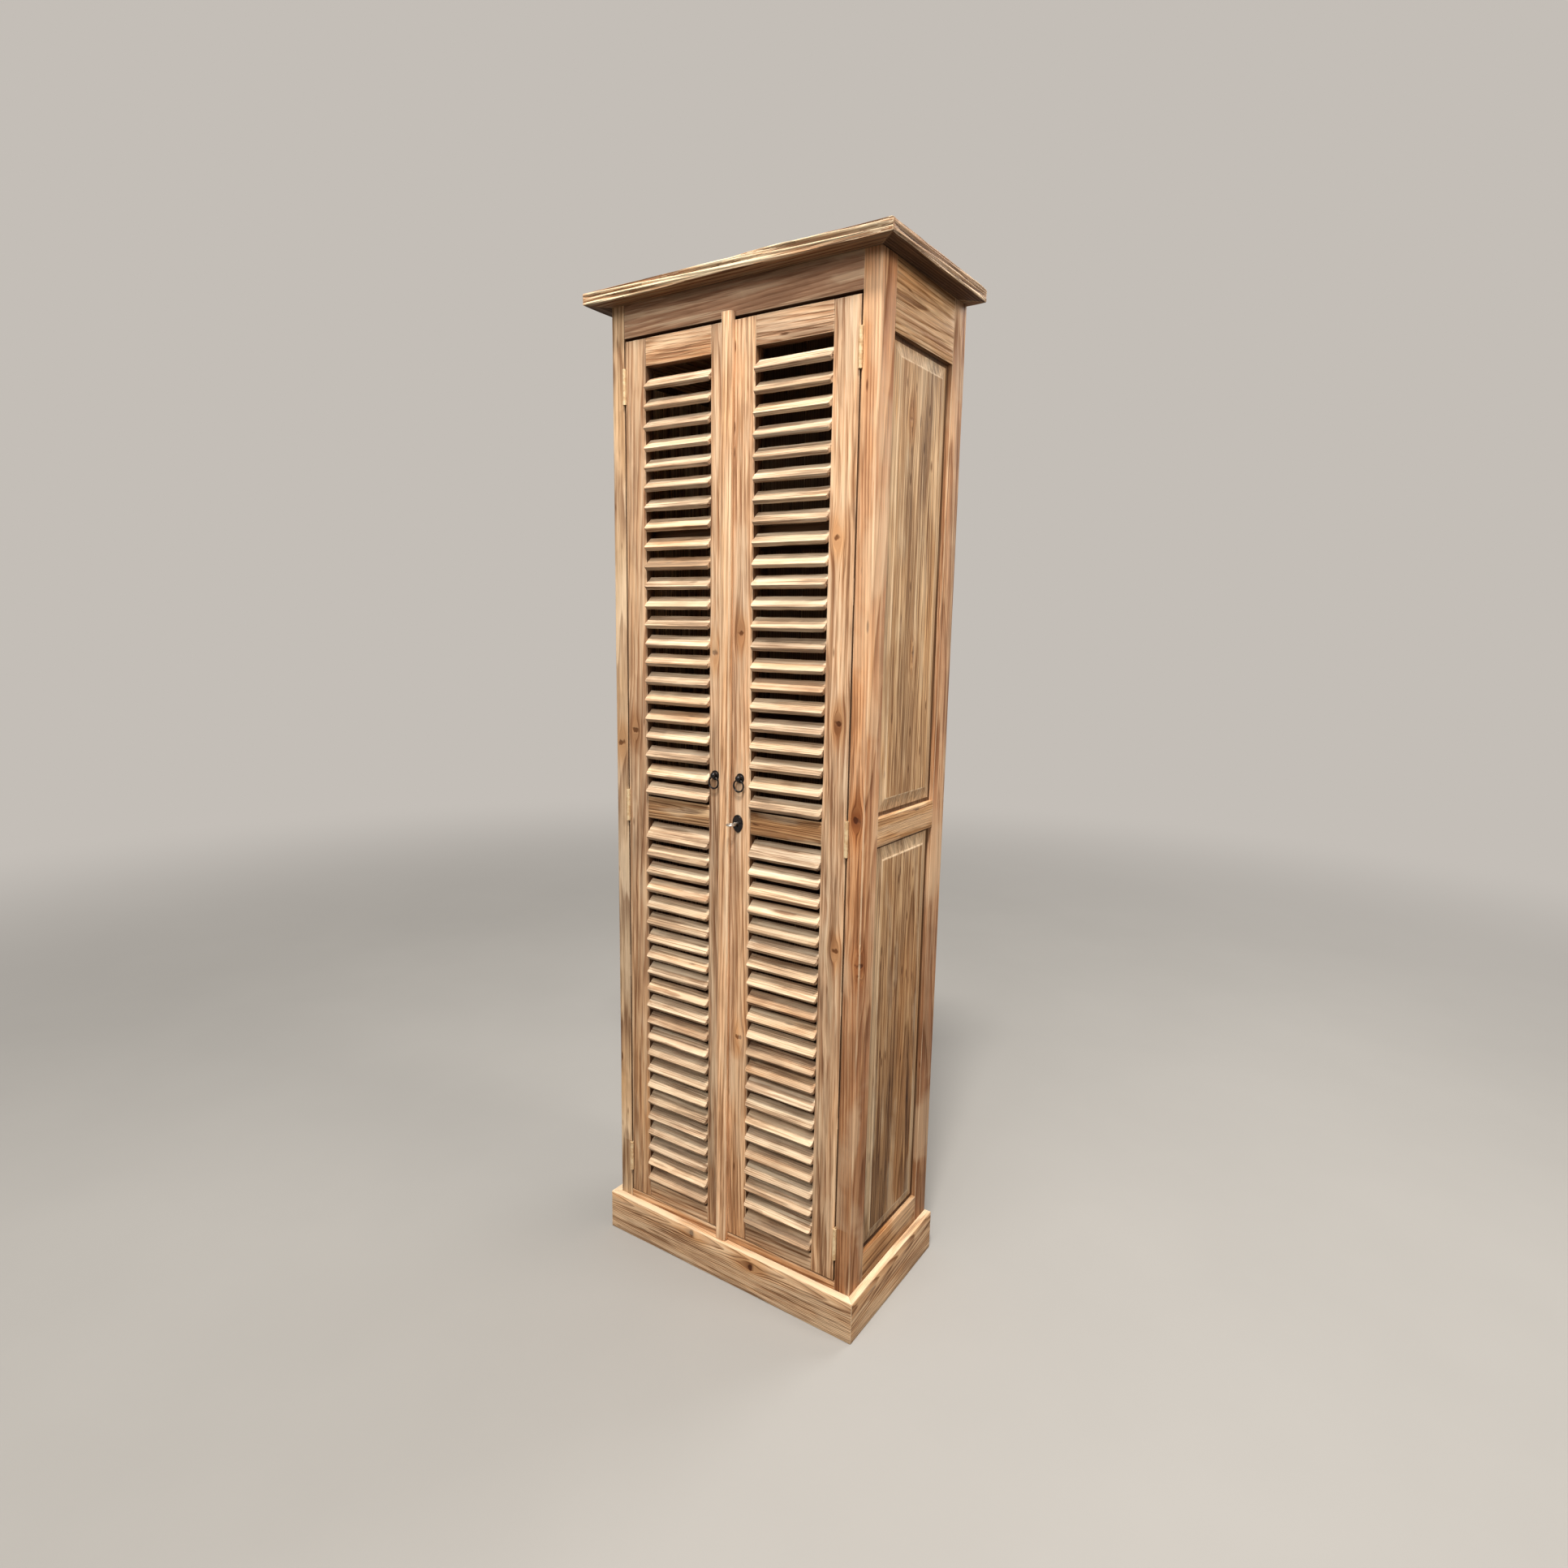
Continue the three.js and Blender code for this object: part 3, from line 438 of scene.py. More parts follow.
def teak(name, grain, look):
    material, tree, shader = emptyMaterial(name)
    xyz = put(tree, "SeparateXYZ", {0: put(tree, "TexCoord").outputs["Object"]}).outputs
    grainFirst = {new: xyz[old] for new, old in enumerate(turnOrder[grain])}
    turnedPlace = put(tree, "CombineXYZ", grainFirst).outputs[0]
    lying = calcVector("SUBTRACT", turnedPlace, attribute(tree, "core", "Vector"))
    bent, spots, halo = bentRoundKnots(lying, turnedPlace, look)
    rings, ripple = growthRings(bent, look)
    bands, streaks, fibre, stain = (
        noise(bent, *grainNoise[layer]) for layer in ("bands", "streaks", "fibre", "stain")
    )
    patch, gathered = (noise(lying, *grainNoise[layer]) for layer in ("patch", "gathered"))
    lines = times(spread(streaks, 0.51, 0.6, 0.0, look["lineShare"]), spread(gathered, 0.4, 0.6, 0.15, 1.0))
    tone, hollow = attribute(tree, "tone"), attribute(tree, "hollow")

    light, mid, dark, pale, worn = (paint(look[key]) for key in ("light", "mid", "dark", "pale", "worn"))
    colour = ramp(rings, [(0.0, light), (0.5, mid), (0.84, dark), (0.92, dark), (1.0, light)])
    colour = blend(look["evenShare"], colour, mid)
    colour = blend(spread(streaks, 0.5, 0.36, 0.0, look["paleShare"]), colour, pale)
    colour = tinted(colour, [
        (spread(bands, 0.46, 0.66, 0.0, look["bandShare"]), tints["band"]),
        (lines, tints["line"]),
        (spread(patch, 0.5, 0.66), look["greyTint"]),
        (spread(patch, 0.48, 0.34), look["warmTint"]),
        (spread(stain, 0.54, 0.72, 0.0, look["stainShare"]), tints["stain"]),
        (halo, tints["halo"]),
    ])
    fibreShare, toneShare = look["fibreShare"], look["toneShare"]
    shade = times(
        spread(fibre, 0.3, 0.7, 1.0 - fibreShare, 1.0 + fibreShare),
        spread(tone, 0.0, 1.0, 1.0 - toneShare, 1.0 + toneShare),
    )
    colour = blend(1.0, colour, shade, "MULTIPLY")
    colour = tinted(colour, [
        (spread(tone, 0.24, 0.0), look["lowToneTint"]),
        # painted shade towards the bottom; a tint above 1 paints light there instead
        (spread(xyz[2], 1.3, 0.3), look["footTint"]),
        (calc("MAXIMUM", spots, specks(lying, look)), tints["spot"]),
        # painted shade in the weathered grooves
        (spread(hollow, 0.0, 0.13, 0.0, look["grooveShare"]), tints["groove"]),
    ])
    # painted highlight on the ridges between the grooves
    colour = blend(spread(hollow, -0.02, -0.16, 0.0, 0.8 * look["grooveShare"]), colour, worn)
    # wear on the arrises, and painted highlights where a piece marks them in the same way
    wearAndHighlight = times(attribute(tree, "wear"), spread(ripple, 0.36, 0.56, 0.25, look["wearShare"]))
    colour = blend(wearAndHighlight, colour, worn)
    # painted shade on the faces each piece marks: joints, the cornice's underside, the panel slots, the
    # slats' noses and undersides and the back's inner face; in the joints it is dirt as well
    shadeAndDirtShare = times(attribute(tree, "grime"), spread(streaks, 0.3, 0.6, 1.0, 0.8))
    colour = tinted(colour, [(shadeAndDirtShare, tints["grime"])])

    ridge = spread(rings, 0.55, 0.88, 1.0, 0.0)
    height = calc("MULTIPLY_ADD", ridge, 0.3, calc("SUBTRACT", 0.8, lines))
    height = calc("MULTIPLY_ADD", fibre, 0.35, height)
    height = calc("MULTIPLY_ADD", spots, -0.6, height)
    bump = put(tree, "Bump", {"Height": height, "Distance": look["relief"], "Strength": 0.8})
    plug(shader, {
        "Base Color": colour,
        "Normal": bump.outputs[0],
        "Roughness": spread(ridge, 0.0, 1.0, 0.82, 0.62),
        "Specular IOR Level": 0.22,
    })
    return material


def wood(name, grain, slot, base, **changes):
    look = {**base, **changes}
    return {"material": teak(name, grain, look), "grain": grain, "slot": slot, "look": look}


plainTeak = {
    "light": (226, 188, 150),
    "mid": (208, 165, 127),
    "dark": (164, 119, 84),
    "pale": (240, 208, 172),
    # the pale colour of wear and of painted highlights
    "worn": (246, 220, 184),
    "evenShare": 0.2,
    "paleShare": 0.6,
    "bandShare": 0.5,
    "lineShare": 0.85,
    "stainShare": 0.45,
    "wearShare": 0.9,
    "grooveShare": 0.3,
    "fibreShare": 0.15,
    "toneShare": 0.16,
    "greyTint": (0.80, 0.84, 0.90),
    "warmTint": (1.02, 0.92, 0.80),
    "lowToneTint": (0.92, 0.82, 0.74),
    # tint towards the bottom: painted shade, and painted light where it is above 1
    "footTint": (0.94, 0.89, 0.82),
    "ringsPerMetre": 170.0,
    "coreDistance": (0.05, 0.13),  # metres from a board's middle to the core of its rings
    "taper": 0.02,
    "drift": 0.02,
    "ripple": 0.005,
    "knotsPerMetre": 2.4,
    "knotRarityShare": 0.8,
    "knotRadius": 0.0085,
    "speckRarityShare": 0.9,
    "relief": 0.0015,
}
postTeak = wood(
    "post_teak", zAxis, "teak", plainTeak, light=(224, 178, 136), mid=(206, 154, 114), dark=(158, 108, 72),
    pale=(238, 198, 158), footTint=(0.58, 0.49, 0.41), bandShare=0.4, knotRadius=0.010, drift=0.012,
    ripple=0.003, coreDistance=(0.06, 0.16),
)
palePostTeak = wood(
    "pale_post_teak", zAxis, "teak", plainTeak, light=(232, 202, 168), mid=(212, 180, 144),
    dark=(164, 128, 98), knotRadius=0.01, coreDistance=(0.06, 0.16),
)
stileTeak = wood("stile_teak", zAxis, "teak", plainTeak, coreDistance=(0.05, 0.14))
stripTeak = wood(
    "strip_teak", zAxis, "teak", plainTeak, light=(234, 196, 157), mid=(217, 174, 135), dark=(174, 129, 93),
    footTint=(1.08, 1.03, 0.97), coreDistance=(0.06, 0.12),
)
railTeak = wood(
    "rail_teak", xAxis, "teak", plainTeak, taper=0.05, drift=0.04, ringsPerMetre=130.0, evenShare=0.1,
    coreDistance=(0.02, 0.05),
)
frontRailTeak = wood(
    "front_rail_teak", xAxis, "teak", railTeak["look"], light=(204, 162, 128), mid=(184, 140, 108),
    dark=(146, 104, 76), evenShare=0.5, lineShare=0.4, bandShare=0.3, stainShare=0.3,
    greyTint=(0.88, 0.86, 0.86), coreDistance=(0.03, 0.06),
)
midRailTeak = wood(
    "mid_rail_teak", xAxis, "teak", plainTeak, light=(206, 166, 122), mid=(166, 124, 86), dark=(112, 78, 50),
    pale=(214, 178, 134), evenShare=0.05, ringsPerMetre=330.0, drift=0.006, ripple=0.0015, taper=0.01,
    knotRarityShare=1.0, coreDistance=(0.02, 0.05),
)
sideRailTeak = wood(
    "side_rail_teak", yAxis, "side_teak", plainTeak, light=(210, 168, 122), mid=(190, 144, 98),
    dark=(138, 94, 56), pale=(226, 190, 148), stainShare=0.6, lineShare=0.75, toneShare=0.1,
    footTint=(0.84, 0.76, 0.68), coreDistance=(0.03, 0.07),
)
sidePanelTeak = wood(
    "side_panel_teak", zAxis, "side_teak", sideRailTeak["look"], light=(208, 171, 128), mid=(186, 145, 104),
    dark=(128, 90, 56), stainShare=0.9, speckRarityShare=0.66, knotRarityShare=0.7, paleShare=0.95,
    lineShare=1.0, footTint=(0.64, 0.55, 0.45), coreDistance=(0.04, 0.08),
)
louvreTeak = wood(
    "louvre_teak", xAxis, "louvre_teak", plainTeak, light=(235, 209, 178), mid=(216, 183, 149),
    dark=(154, 114, 85), pale=(244, 224, 194), worn=(242, 218, 184), bandShare=0.6, lineShare=1.0,
    stainShare=0.75, toneShare=0.15, paleShare=0.8, ringsPerMetre=300.0, knotRarityShare=0.86,
    knotRadius=0.005, taper=0.003, drift=0.008, ripple=0.002, lowToneTint=(0.82, 0.66, 0.54),
    greyTint=(0.84, 0.82, 0.83), footTint=(1.0, 0.97, 0.93), coreDistance=(0.015, 0.06),
)
corniceFrontTeak = wood(
    "cornice_front_teak", xAxis, "cornice_teak", plainTeak, light=(218, 180, 140), mid=(194, 148, 108),
    dark=(122, 82, 52), pale=(246, 226, 190), worn=(252, 232, 196), lineShare=0.7, evenShare=0.1,
    grooveShare=1.0, relief=0.0016, coreDistance=(0.05, 0.08),
)
# a darker copy of the front boards' teak, as painted shade on the side boards
shadedCorniceSideTeak = wood(
    "cornice_side_teak", yAxis, "cornice_teak", corniceFrontTeak["look"], light=(188, 150, 114),
    mid=(164, 126, 92), dark=(114, 82, 58), pale=(206, 174, 140), worn=(208, 180, 148),
)
corniceMiddleTeak = wood(
    "cornice_middle_teak", xAxis, "cornice_teak", shadedCorniceSideTeak["look"], grooveShare=0.1,
    coreDistance=(0.05, 0.13),
)
plinthFrontTeak = wood(
    "plinth_front_teak", xAxis, "plinth_teak", plainTeak, light=(246, 212, 172), mid=(226, 184, 143),
    dark=(146, 103, 70), taper=0.04, drift=0.035, lineShare=0.9, bandShare=0.35, stainShare=0.3,
    evenShare=0.1, ringsPerMetre=280.0, knotRadius=0.009, greyTint=(0.88, 0.88, 0.9),
    footTint=(1.0, 0.97, 0.92), relief=0.0016, coreDistance=(0.03, 0.06),
)
# a darker copy of the front board's teak, as painted shade on the side boards
shadedPlinthSideTeak = wood(
    "plinth_side_teak", yAxis, "plinth_teak", plinthFrontTeak["look"], light=(216, 182, 146),
    mid=(194, 154, 118), dark=(128, 90, 60),
)
floorTeak = wood(
    "floor_teak", xAxis, "teak", plainTeak, light=(216, 172, 130), mid=(196, 150, 108), dark=(144, 98, 62),
    bandShare=0.4, coreDistance=(0.05, 0.1),
)
shelfTeak = wood(
    "shelf_teak", xAxis, "inner_teak", plainTeak, light=(132, 102, 74), mid=(118, 90, 64), dark=(104, 78, 54),
    paleShare=0.0, lineShare=0.2, bandShare=0.15, evenShare=0.7, toneShare=0.05, stainShare=0.2,
    grooveShare=0.0, relief=0.0003, coreDistance=(0.04, 0.1),
)
backTeak = wood(
    "back_teak", zAxis, "inner_teak", plainTeak, light=(196, 158, 120), mid=(176, 138, 102),
    dark=(132, 98, 68), paleShare=0.2, bandShare=0.3, evenShare=0.4, grooveShare=0.0, relief=0.0006,
    coreDistance=(0.03, 0.08),
)


def metal(name, look):
    material, tree, shader = emptyMaterial(name)
    place = put(tree, "TexCoord").outputs["Object"]
    cloud, fine = noise(place, 90.0, 90.0, 3.0), noise(place, 900.0, 900.0, 2.0)
    height = calc("MULTIPLY_ADD", fine, 0.3, cloud)
    bump = put(tree, "Bump", {"Height": height, "Distance": look["relief"], "Strength": 0.5})
    plug(shader, {
        "Base Color": blend(spread(cloud, 0.4, 0.65), paint(look["clean"]), paint(look["dull"])),
        "Normal": bump.outputs[0],
        "Roughness": spread(cloud, 0.3, 0.7, look["smooth"], look["rough"]),
        "Metallic": look["metal"],
    })
    return {"material": material, "slot": name}


blackIron = metal("black_iron", {
    "clean": (26, 24, 25), "dull": (44, 38, 36), "smooth": 0.18, "rough": 0.36, "relief": 0.0003,
    "metal": 0.55,
})
brass = metal("brass", {
    "clean": (228, 202, 160), "dull": (204, 168, 124), "smooth": 0.48, "rough": 0.6, "relief": 0.00004,
    "metal": 0.25,
})
steel = metal("steel", {
    "clean": (206, 200, 192), "dull": (150, 144, 136), "smooth": 0.28, "rough": 0.46, "relief": 0.0001,
    "metal": 0.9,
})
print("materials made")


# Finishing a piece: its grain, its material, what it rides on and what it stands for

farAway = Vector((9, 9, 9))  # stands for no knot
up, down = (0, 0, 1), (0, 0, -1)


def arrisWear(share):
    # wear on the faces that look between two of the board's own directions
    return lambda centre, normal: 0.0 if max(abs(part) for part in normal) > 0.975 else share


def jointShadeAndDirt(*directions):
    # dirt and painted shade on the faces that look into a joint
    return lambda centre, normal: float(any(normal.dot(Vector(way)) > 0.9 for way in directions))


def giveGrain(piece, kind, tone=None, wear=arrisWear(0.25), grime=jointShadeAndDirt(), knots=()):
    # draws the core of the board's rings and its tone, and notes them with its knots, its wear and painted
    # highlights, and its dirt and painted shade
    chance = random.Random(piece.name)
    corners = [corner.co for corner in piece.data.vertices]
    faces = piece.data.polygons
    middle = sum(corners, Vector()) / len(corners)
    order = turnOrder[kind["grain"]]
    angle = chance.uniform(0, 2 * math.pi)
    distance = chance.uniform(*kind["look"]["coreDistance"])
    core = (
        middle[order[0]] + chance.uniform(-0.4, 0.4),
        middle[order[1]] + distance * math.cos(angle),
        middle[order[2]] + distance * math.sin(angle),
    )
    shade = chance.random() if tone is None else tone
    places = [Vector(place) for place in knots] or [farAway]
    nearest = [min(places, key=lambda place: (face.center - place).length) for face in faces]
    note(piece, "core", "FLOAT_VECTOR", "POINT", core * len(corners))
    note(piece, "knot", "FLOAT_VECTOR", "FACE", [place[axis] for place in nearest for axis in order])
    note(piece, "tone", "FLOAT", "POINT", [shade] * len(corners))
    note(piece, "wear", "FLOAT", "FACE", [wear(face.center, face.normal) for face in faces])
    note(piece, "grime", "FLOAT", "FACE", [grime(face.center, face.normal) for face in faces])


def dress(piece, kind, node, body="carcase"):
    piece.data.materials.clear()
    piece.data.materials.append(kind["material"])
    selectOnly(piece)
    bpy.ops.object.shade_smooth_by_angle(angle=math.radians(35))
    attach(piece, body)
    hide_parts(node)


def finishWood(piece, kind, node, body="carcase", **marks):
    giveGrain(piece, kind, **marks)
    dress(piece, kind, node, body)


boardWork = {
    "arris": 0.0012,
    "cutEvery": 0.024,  # metres between ring cuts along the grain
    "undulation": 0.0007,
}


def board(name, low, high, grain, acrossCuts, arris=boardWork["arris"], undulation=boardWork["undulation"]):
    piece = sawnBlock(name, low, high)
    easeEdges(piece, arris)
    sizes = [high[axis] - low[axis] for axis in range(3)]
    ringCuts(piece, grain, max(2, int(sizes[grain] / boardWork["cutEvery"])))
    if acrossCuts:
        widest = max((axis for axis in range(3) if axis != grain), key=lambda axis: sizes[axis])
        ringCuts(piece, widest, acrossCuts)
    weather(piece, grain, undulation)
    return piece


def nodeBoard(node, grain, acrossCuts, limits=None, **work):
    # a board as large as its node, but for the limits given on some axes
    low, high = (Vector(corner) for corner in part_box(node))
    for axis, pair in (limits or {}).items():
        low[axis], high[axis] = sorted(pair)
    return board(node + "_wood", low, high, grain, acrossCuts, **work)


# Cornice: four mitred boards round a middle board, with a rough, deeply grooved edge

cornice = {
    "boardWidth": 0.088,
    "gap": 0.0008,  # between the middle board and the others
    "sink": 0.001,
    "arris": 0.0016,
    "grooves": (0.0095, 0.3, 0.0055, 0.022),  # depth, length, width and lean
    "faceShare": 0.0012 / 0.0095,  # of that depth, away from the outer edge
    "edgeReach": 0.008, "mitreReach": 0.03, "mitreShare": 0.25,
    "cutsAlong": {xAxis: 130, yAxis: 80}, "cutsAcross": 8, "cutsUp": 17,
    # the side boards' low tone adds painted shade
    # the soffit share is painted shade under the cornice
    "tone": {xAxis: 0.7, yAxis: 0.15}, "soffitShade": 0.7,
}


# painted shade on the faces that look down, under the cornice
def soffitShade(centre, normal):
    return cornice["soffitShade"] if normal.z < -0.8 else 0.0


def mitredBoard(name, low, high, grain, outer, mitre, cutsAcross=0):
    # a board that is longest at its outer edge, and shorter by a mitre at each end of the other
    piece = sawnBlock(name, low, high)
    across = yAxis if grain == xAxis else xAxis
    if cutsAcross:
        ringCuts(piece, across, cutsAcross)
    for corner in piece.data.vertices:
        share = abs(corner.co[across] - outer) / (high[across] - low[across])
        corner.co[grain] -= math.copysign(mitre * share, corner.co[grain] - (low[grain] + high[grain]) / 2)
    return piece


def corniceBoard(name, low, high, kind, outer):
    grain = kind["grain"]
    across = yAxis if grain == xAxis else xAxis
    piece = mitredBoard(name, low, high, grain, outer, cornice["boardWidth"], cornice["cutsAcross"])
    easeEdges(piece, cornice["arris"])
    ringCuts(piece, grain, cornice["cutsAlong"][grain])
    ringCuts(piece, zAxis, cornice["cutsUp"])

    def nearEdge(place):
        # full depth on the outer edge, less near the mitres so that they stay closed
        fromEnd = min(place[grain] - low[grain], high[grain] - place[grain])
        fromEdge = abs(place[across] - outer)
        atMitre = cornice["mitreShare"] + fromEnd / cornice["mitreReach"]
        return max(cornice["faceShare"], min(1 - fromEdge / cornice["edgeReach"], atMitre))

    weather(piece, grain, *cornice["grooves"], nearEdge, 1)
    marks = {"tone": cornice["tone"][grain], "wear": arrisWear(0.5), "grime": soffitShade}
    finishWood(piece, kind, "cornice_board", **marks)


def corniceBoards():
    low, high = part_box("cornice_board")
    width, inset = cornice["boardWidth"], cornice["boardWidth"] + cornice["gap"]
    corniceBoard("cornice_front", low, (high.x, low.y + width, high.z), corniceFrontTeak, low.y)
    corniceBoard("cornice_back", (low.x, high.y - width, low.z), high, corniceFrontTeak, high.y)
    corniceBoard("cornice_left", low, (low.x + width, high.y, high.z), shadedCorniceSideTeak, low.x)
    corniceBoard("cornice_right", (high.x - width, low.y, low.z), high, shadedCorniceSideTeak, high.x)
    inside = Vector((inset, inset, cornice["sink"]))
    middle = board("cornice_middle", low + inside, high - inside, xAxis, 12)
    finishWood(middle, corniceMiddleTeak, "cornice_board", tone=0.4)


corniceBoards()
print("cornice made")


# Posts, rails and panels of the body

post = {
    "innerX": 0.280, "outerArris": 0.0042, "arris": 0.0011, "cuts": 80,
    "grooves": (0.0012, 0.2, 0.014),  # depth, length and width, as for every piece
    # the outer share is a painted highlight on the outer front arris
    "seatDeep": 0.0009, "barrelRoom": 0.0047, "leafReach": 0.0203, "outerArrisHighlight": 0.5, "wearShare": 0.15,
    "tone": {"front_left_post": 0.5, "front_right_post": 0.62, "back_left_post": 0.4, "back_right_post": 0.4},
    "knots": {
        "front_left_post": [(-0.298, bodyFront, 1.179)],
        "front_right_post": [(0.298, bodyFront, 1.081), (0.311, bodyFront + 0.008, 0.796)],
    },
}
hingeAxis = {"x": 0.2785, "y": bodyFront - 0.0015, "halfLength": 0.0353}
hingeHeights = {
    place: sum(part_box(f"right_{place}_hinge_frame_leaf"), Vector()).z / 2
    for place in ("bottom", "middle", "top")
}


def cutHingeSeats(piece, side, faceX, inward):
    for height in hingeHeights.values():
        bottom, top = height - hingeAxis["halfLength"], height + hingeAxis["halfLength"]
        x = sorted((side * (faceX - inward * 0.001), side * (faceX + inward * post["seatDeep"])))
        front, back = bodyFront - 0.001, bodyFront + post["leafReach"]
        cutAway(piece, sawnBlock("seat", (x[0], front, bottom), (x[1], back, top)))
        start, end = ((side * hingeAxis["x"], hingeAxis["y"], z) for z in (bottom, top))
        cutAway(piece, roundBar("barrelSeat", post["barrelRoom"], start, end, zAxis, 24))


def cornerPost(name, side, inFront):
    low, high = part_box(name)
    outerX = high.x if side > 0 else low.x
    piece = sawnBlock(name + "_wood", low, high)

    def outerFront(*ends):
        return all(abs(spot.x - outerX) < 1e-5 and abs(spot.y - low.y) < 1e-5 for spot in ends)

    # a painted highlight on the outer front arris, and wear on the others
    def worn(centre, normal):
        outer = normal.x * side > 0.3 and normal.y < -0.3
        return post["outerArrisHighlight"] if outer else arrisWear(post["wearShare"])(centre, normal)

    if inFront:
        bevelPicked(piece, outerFront, post["outerArris"], 4)
    easeEdges(piece, post["arris"])
    ringCuts(piece, zAxis, post["cuts"])
    weather(piece, zAxis, *post["grooves"])
    if inFront:
        cutHingeSeats(piece, side, post["innerX"], 1)
    kind = palePostTeak if name == "front_left_post" else postTeak
    grime, knots = jointShadeAndDirt((-side, 0, 0)), post["knots"].get(name, ())
    finishWood(piece, kind, name, tone=post["tone"][name], wear=worn, grime=grime, knots=knots)


frontRail = {"lipHeight": 0.014, "lipDepth": 0.026, "overlap": 0.0002, "tone": 0.26}


def railWithLip():
    low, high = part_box("front_top_rail")
    inner, lipTop = post["innerX"], low.z + frontRail["lipHeight"]
    rail = board("front_rail_wood", (-inner, low.y, lipTop), (inner, high.y, high.z), xAxis, 4)
    lipLow = (-inner, bodyFront + frontRail["lipDepth"], low.z)
    lip = board("door_stop_wood", lipLow, (inner, high.y, lipTop + frontRail["overlap"]), xAxis, 0)
    marks = {"tone": frontRail["tone"], "grime": jointShadeAndDirt(down)}
    for piece in (rail, lip):
        finishWood(piece, frontRailTeak, "front_top_rail", **marks)


for end in ("front", "back"):
    for side, sideName in sides:
        cornerPost(f"{end}_{sideName}_post", side, end == "front")
railWithLip()
print("posts and front rail made")

sideFrame = {
    "outerX": 0.315, "innerX": 0.293,
    "spanY": (bodyFront + 0.055, bodyFront + 0.301),
    "grooveBack": 0.2983, "tongue": 0.0074, "tongueReach": 0.007, "slotWidth": 0.0065,
    "slotDeep": 0.0012, "bevelWidth": 0.0235, "bevelRise": 0.0048, "fieldEase": 0.0012,
    # the last inset round the raised field carries a painted highlight
    "fieldStep": 0.0014, "wornWidth": 0.002, "arris": 0.0006, "grooves": (0.0011, 0.24, 0.02),
    "cutsAlong": 44, "cutsAcross": 8,
    "railTone": {"bottom": 0.4, "mid": 0.5, "top": 0.85}, "panelTone": 0.6,
}


def sideRails(side, sideName):
    for place, tone in sideFrame["railTone"].items():
        node = f"{sideName}_side_{place}_rail"
        x = (side * sideFrame["innerX"], side * sideFrame["outerX"])
        piece = nodeBoard(node, yAxis, 4, {xAxis: x, yAxis: sideFrame["spanY"]})
        finishWood(piece, sideRailTeak, node, tone=tone, grime=jointShadeAndDirt(down))


def panelShadowAndHighlight(low, high, side):
    # painted shadow in the slot round the panel, and a painted highlight along the edge of its raised field
    # and on its bevel
    slotEnd = sideFrame["tongueReach"] + sideFrame["slotDeep"] + sideFrame["slotWidth"]
    fieldEdge = slotEnd + sideFrame["bevelWidth"]
    fieldLine = fieldEdge + sideFrame["fieldEase"] + sideFrame["wornWidth"]

    def inFromEdge(centre):
        return min(centre.y - low.y, high.y - centre.y, centre.z - low.z, high.z - centre.z)

    # painted highlight on the field's edge and its bevel
    def wear(centre, normal):
        onFieldEdge = fieldEdge - 0.001 < inFromEdge(centre) < fieldLine
        onBevel = slotEnd < inFromEdge(centre) < fieldEdge
        return 0.6 if onFieldEdge and normal.x * side > 0.2 else 0.3 * float(onBevel)

    # painted shadow in the slot under the frame
    def grime(centre, normal):
        return 1.0 if inFromEdge(centre) < slotEnd - 0.0008 else 0.0

    return {"wear": wear, "grime": grime}


def sidePanels(side, sideName):
    for place in ("lower", "upper"):
        node = f"{sideName}_side_{place}_panel"
        low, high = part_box(node)
        x = sorted(side * (sideFrame["grooveBack"] + part) for part in (0, sideFrame["tongue"]))
        piece = sawnBlock(node + "_wood", (x[0], low.y, low.z), (x[1], high.y, high.z))
        insetPicked(piece, lambda centre, normal: normal.x * side > 0.9, [
            (sideFrame["tongueReach"], 0),
            (sideFrame["slotDeep"], -sideFrame["slotDeep"]),
            (sideFrame["slotWidth"], 0),
            (sideFrame["bevelWidth"], sideFrame["bevelRise"]),
            (sideFrame["fieldEase"], sideFrame["fieldStep"]),
            (sideFrame["wornWidth"], 0),
        ])
        easeEdges(piece, sideFrame["arris"], 2, 12)
        ringCuts(piece, zAxis, sideFrame["cutsAlong"])
        ringCuts(piece, yAxis, sideFrame["cutsAcross"])
        weather(piece, zAxis, *sideFrame["grooves"])
        marks = panelShadowAndHighlight(low, high, side)
        finishWood(piece, sidePanelTeak, node, tone=sideFrame["panelTone"], **marks)


for side, sideName in sides:
    sideRails(side, sideName)
    sidePanels(side, sideName)
print("sides made")

plinth = {
    "arris": 0.0016, "grooves": (0.0018, 0.14, 0.012, 0.02),
    "cutsAlong": {xAxis: 60, yAxis: 36}, "cutsUp": 8,
    # the top share is a painted highlight on the faces that look up
    "tone": 0.6, "topHighlightShare": 0.9, "wearShare": 0.6,
    "knots": ((-0.085, 0.079), (0.078, 0.067)),  # x and z on the front board
}


def finishPlinth(piece, kind, node, knots=()):
    grain = kind["grain"]
    easeEdges(piece, plinth["arris"])
    ringCuts(piece, grain, plinth["cutsAlong"][grain])
    ringCuts(piece, zAxis, plinth["cutsUp"])
    weather(piece, grain, *plinth["grooves"])

    # a painted highlight on the faces that look up, and wear on the arrises
    def worn(centre, normal):
        return plinth["topHighlightShare"] if normal.z > 0.3 else arrisWear(plinth["wearShare"])(centre, normal)

    finishWood(piece, kind, node, tone=plinth["tone"], wear=worn, knots=knots)


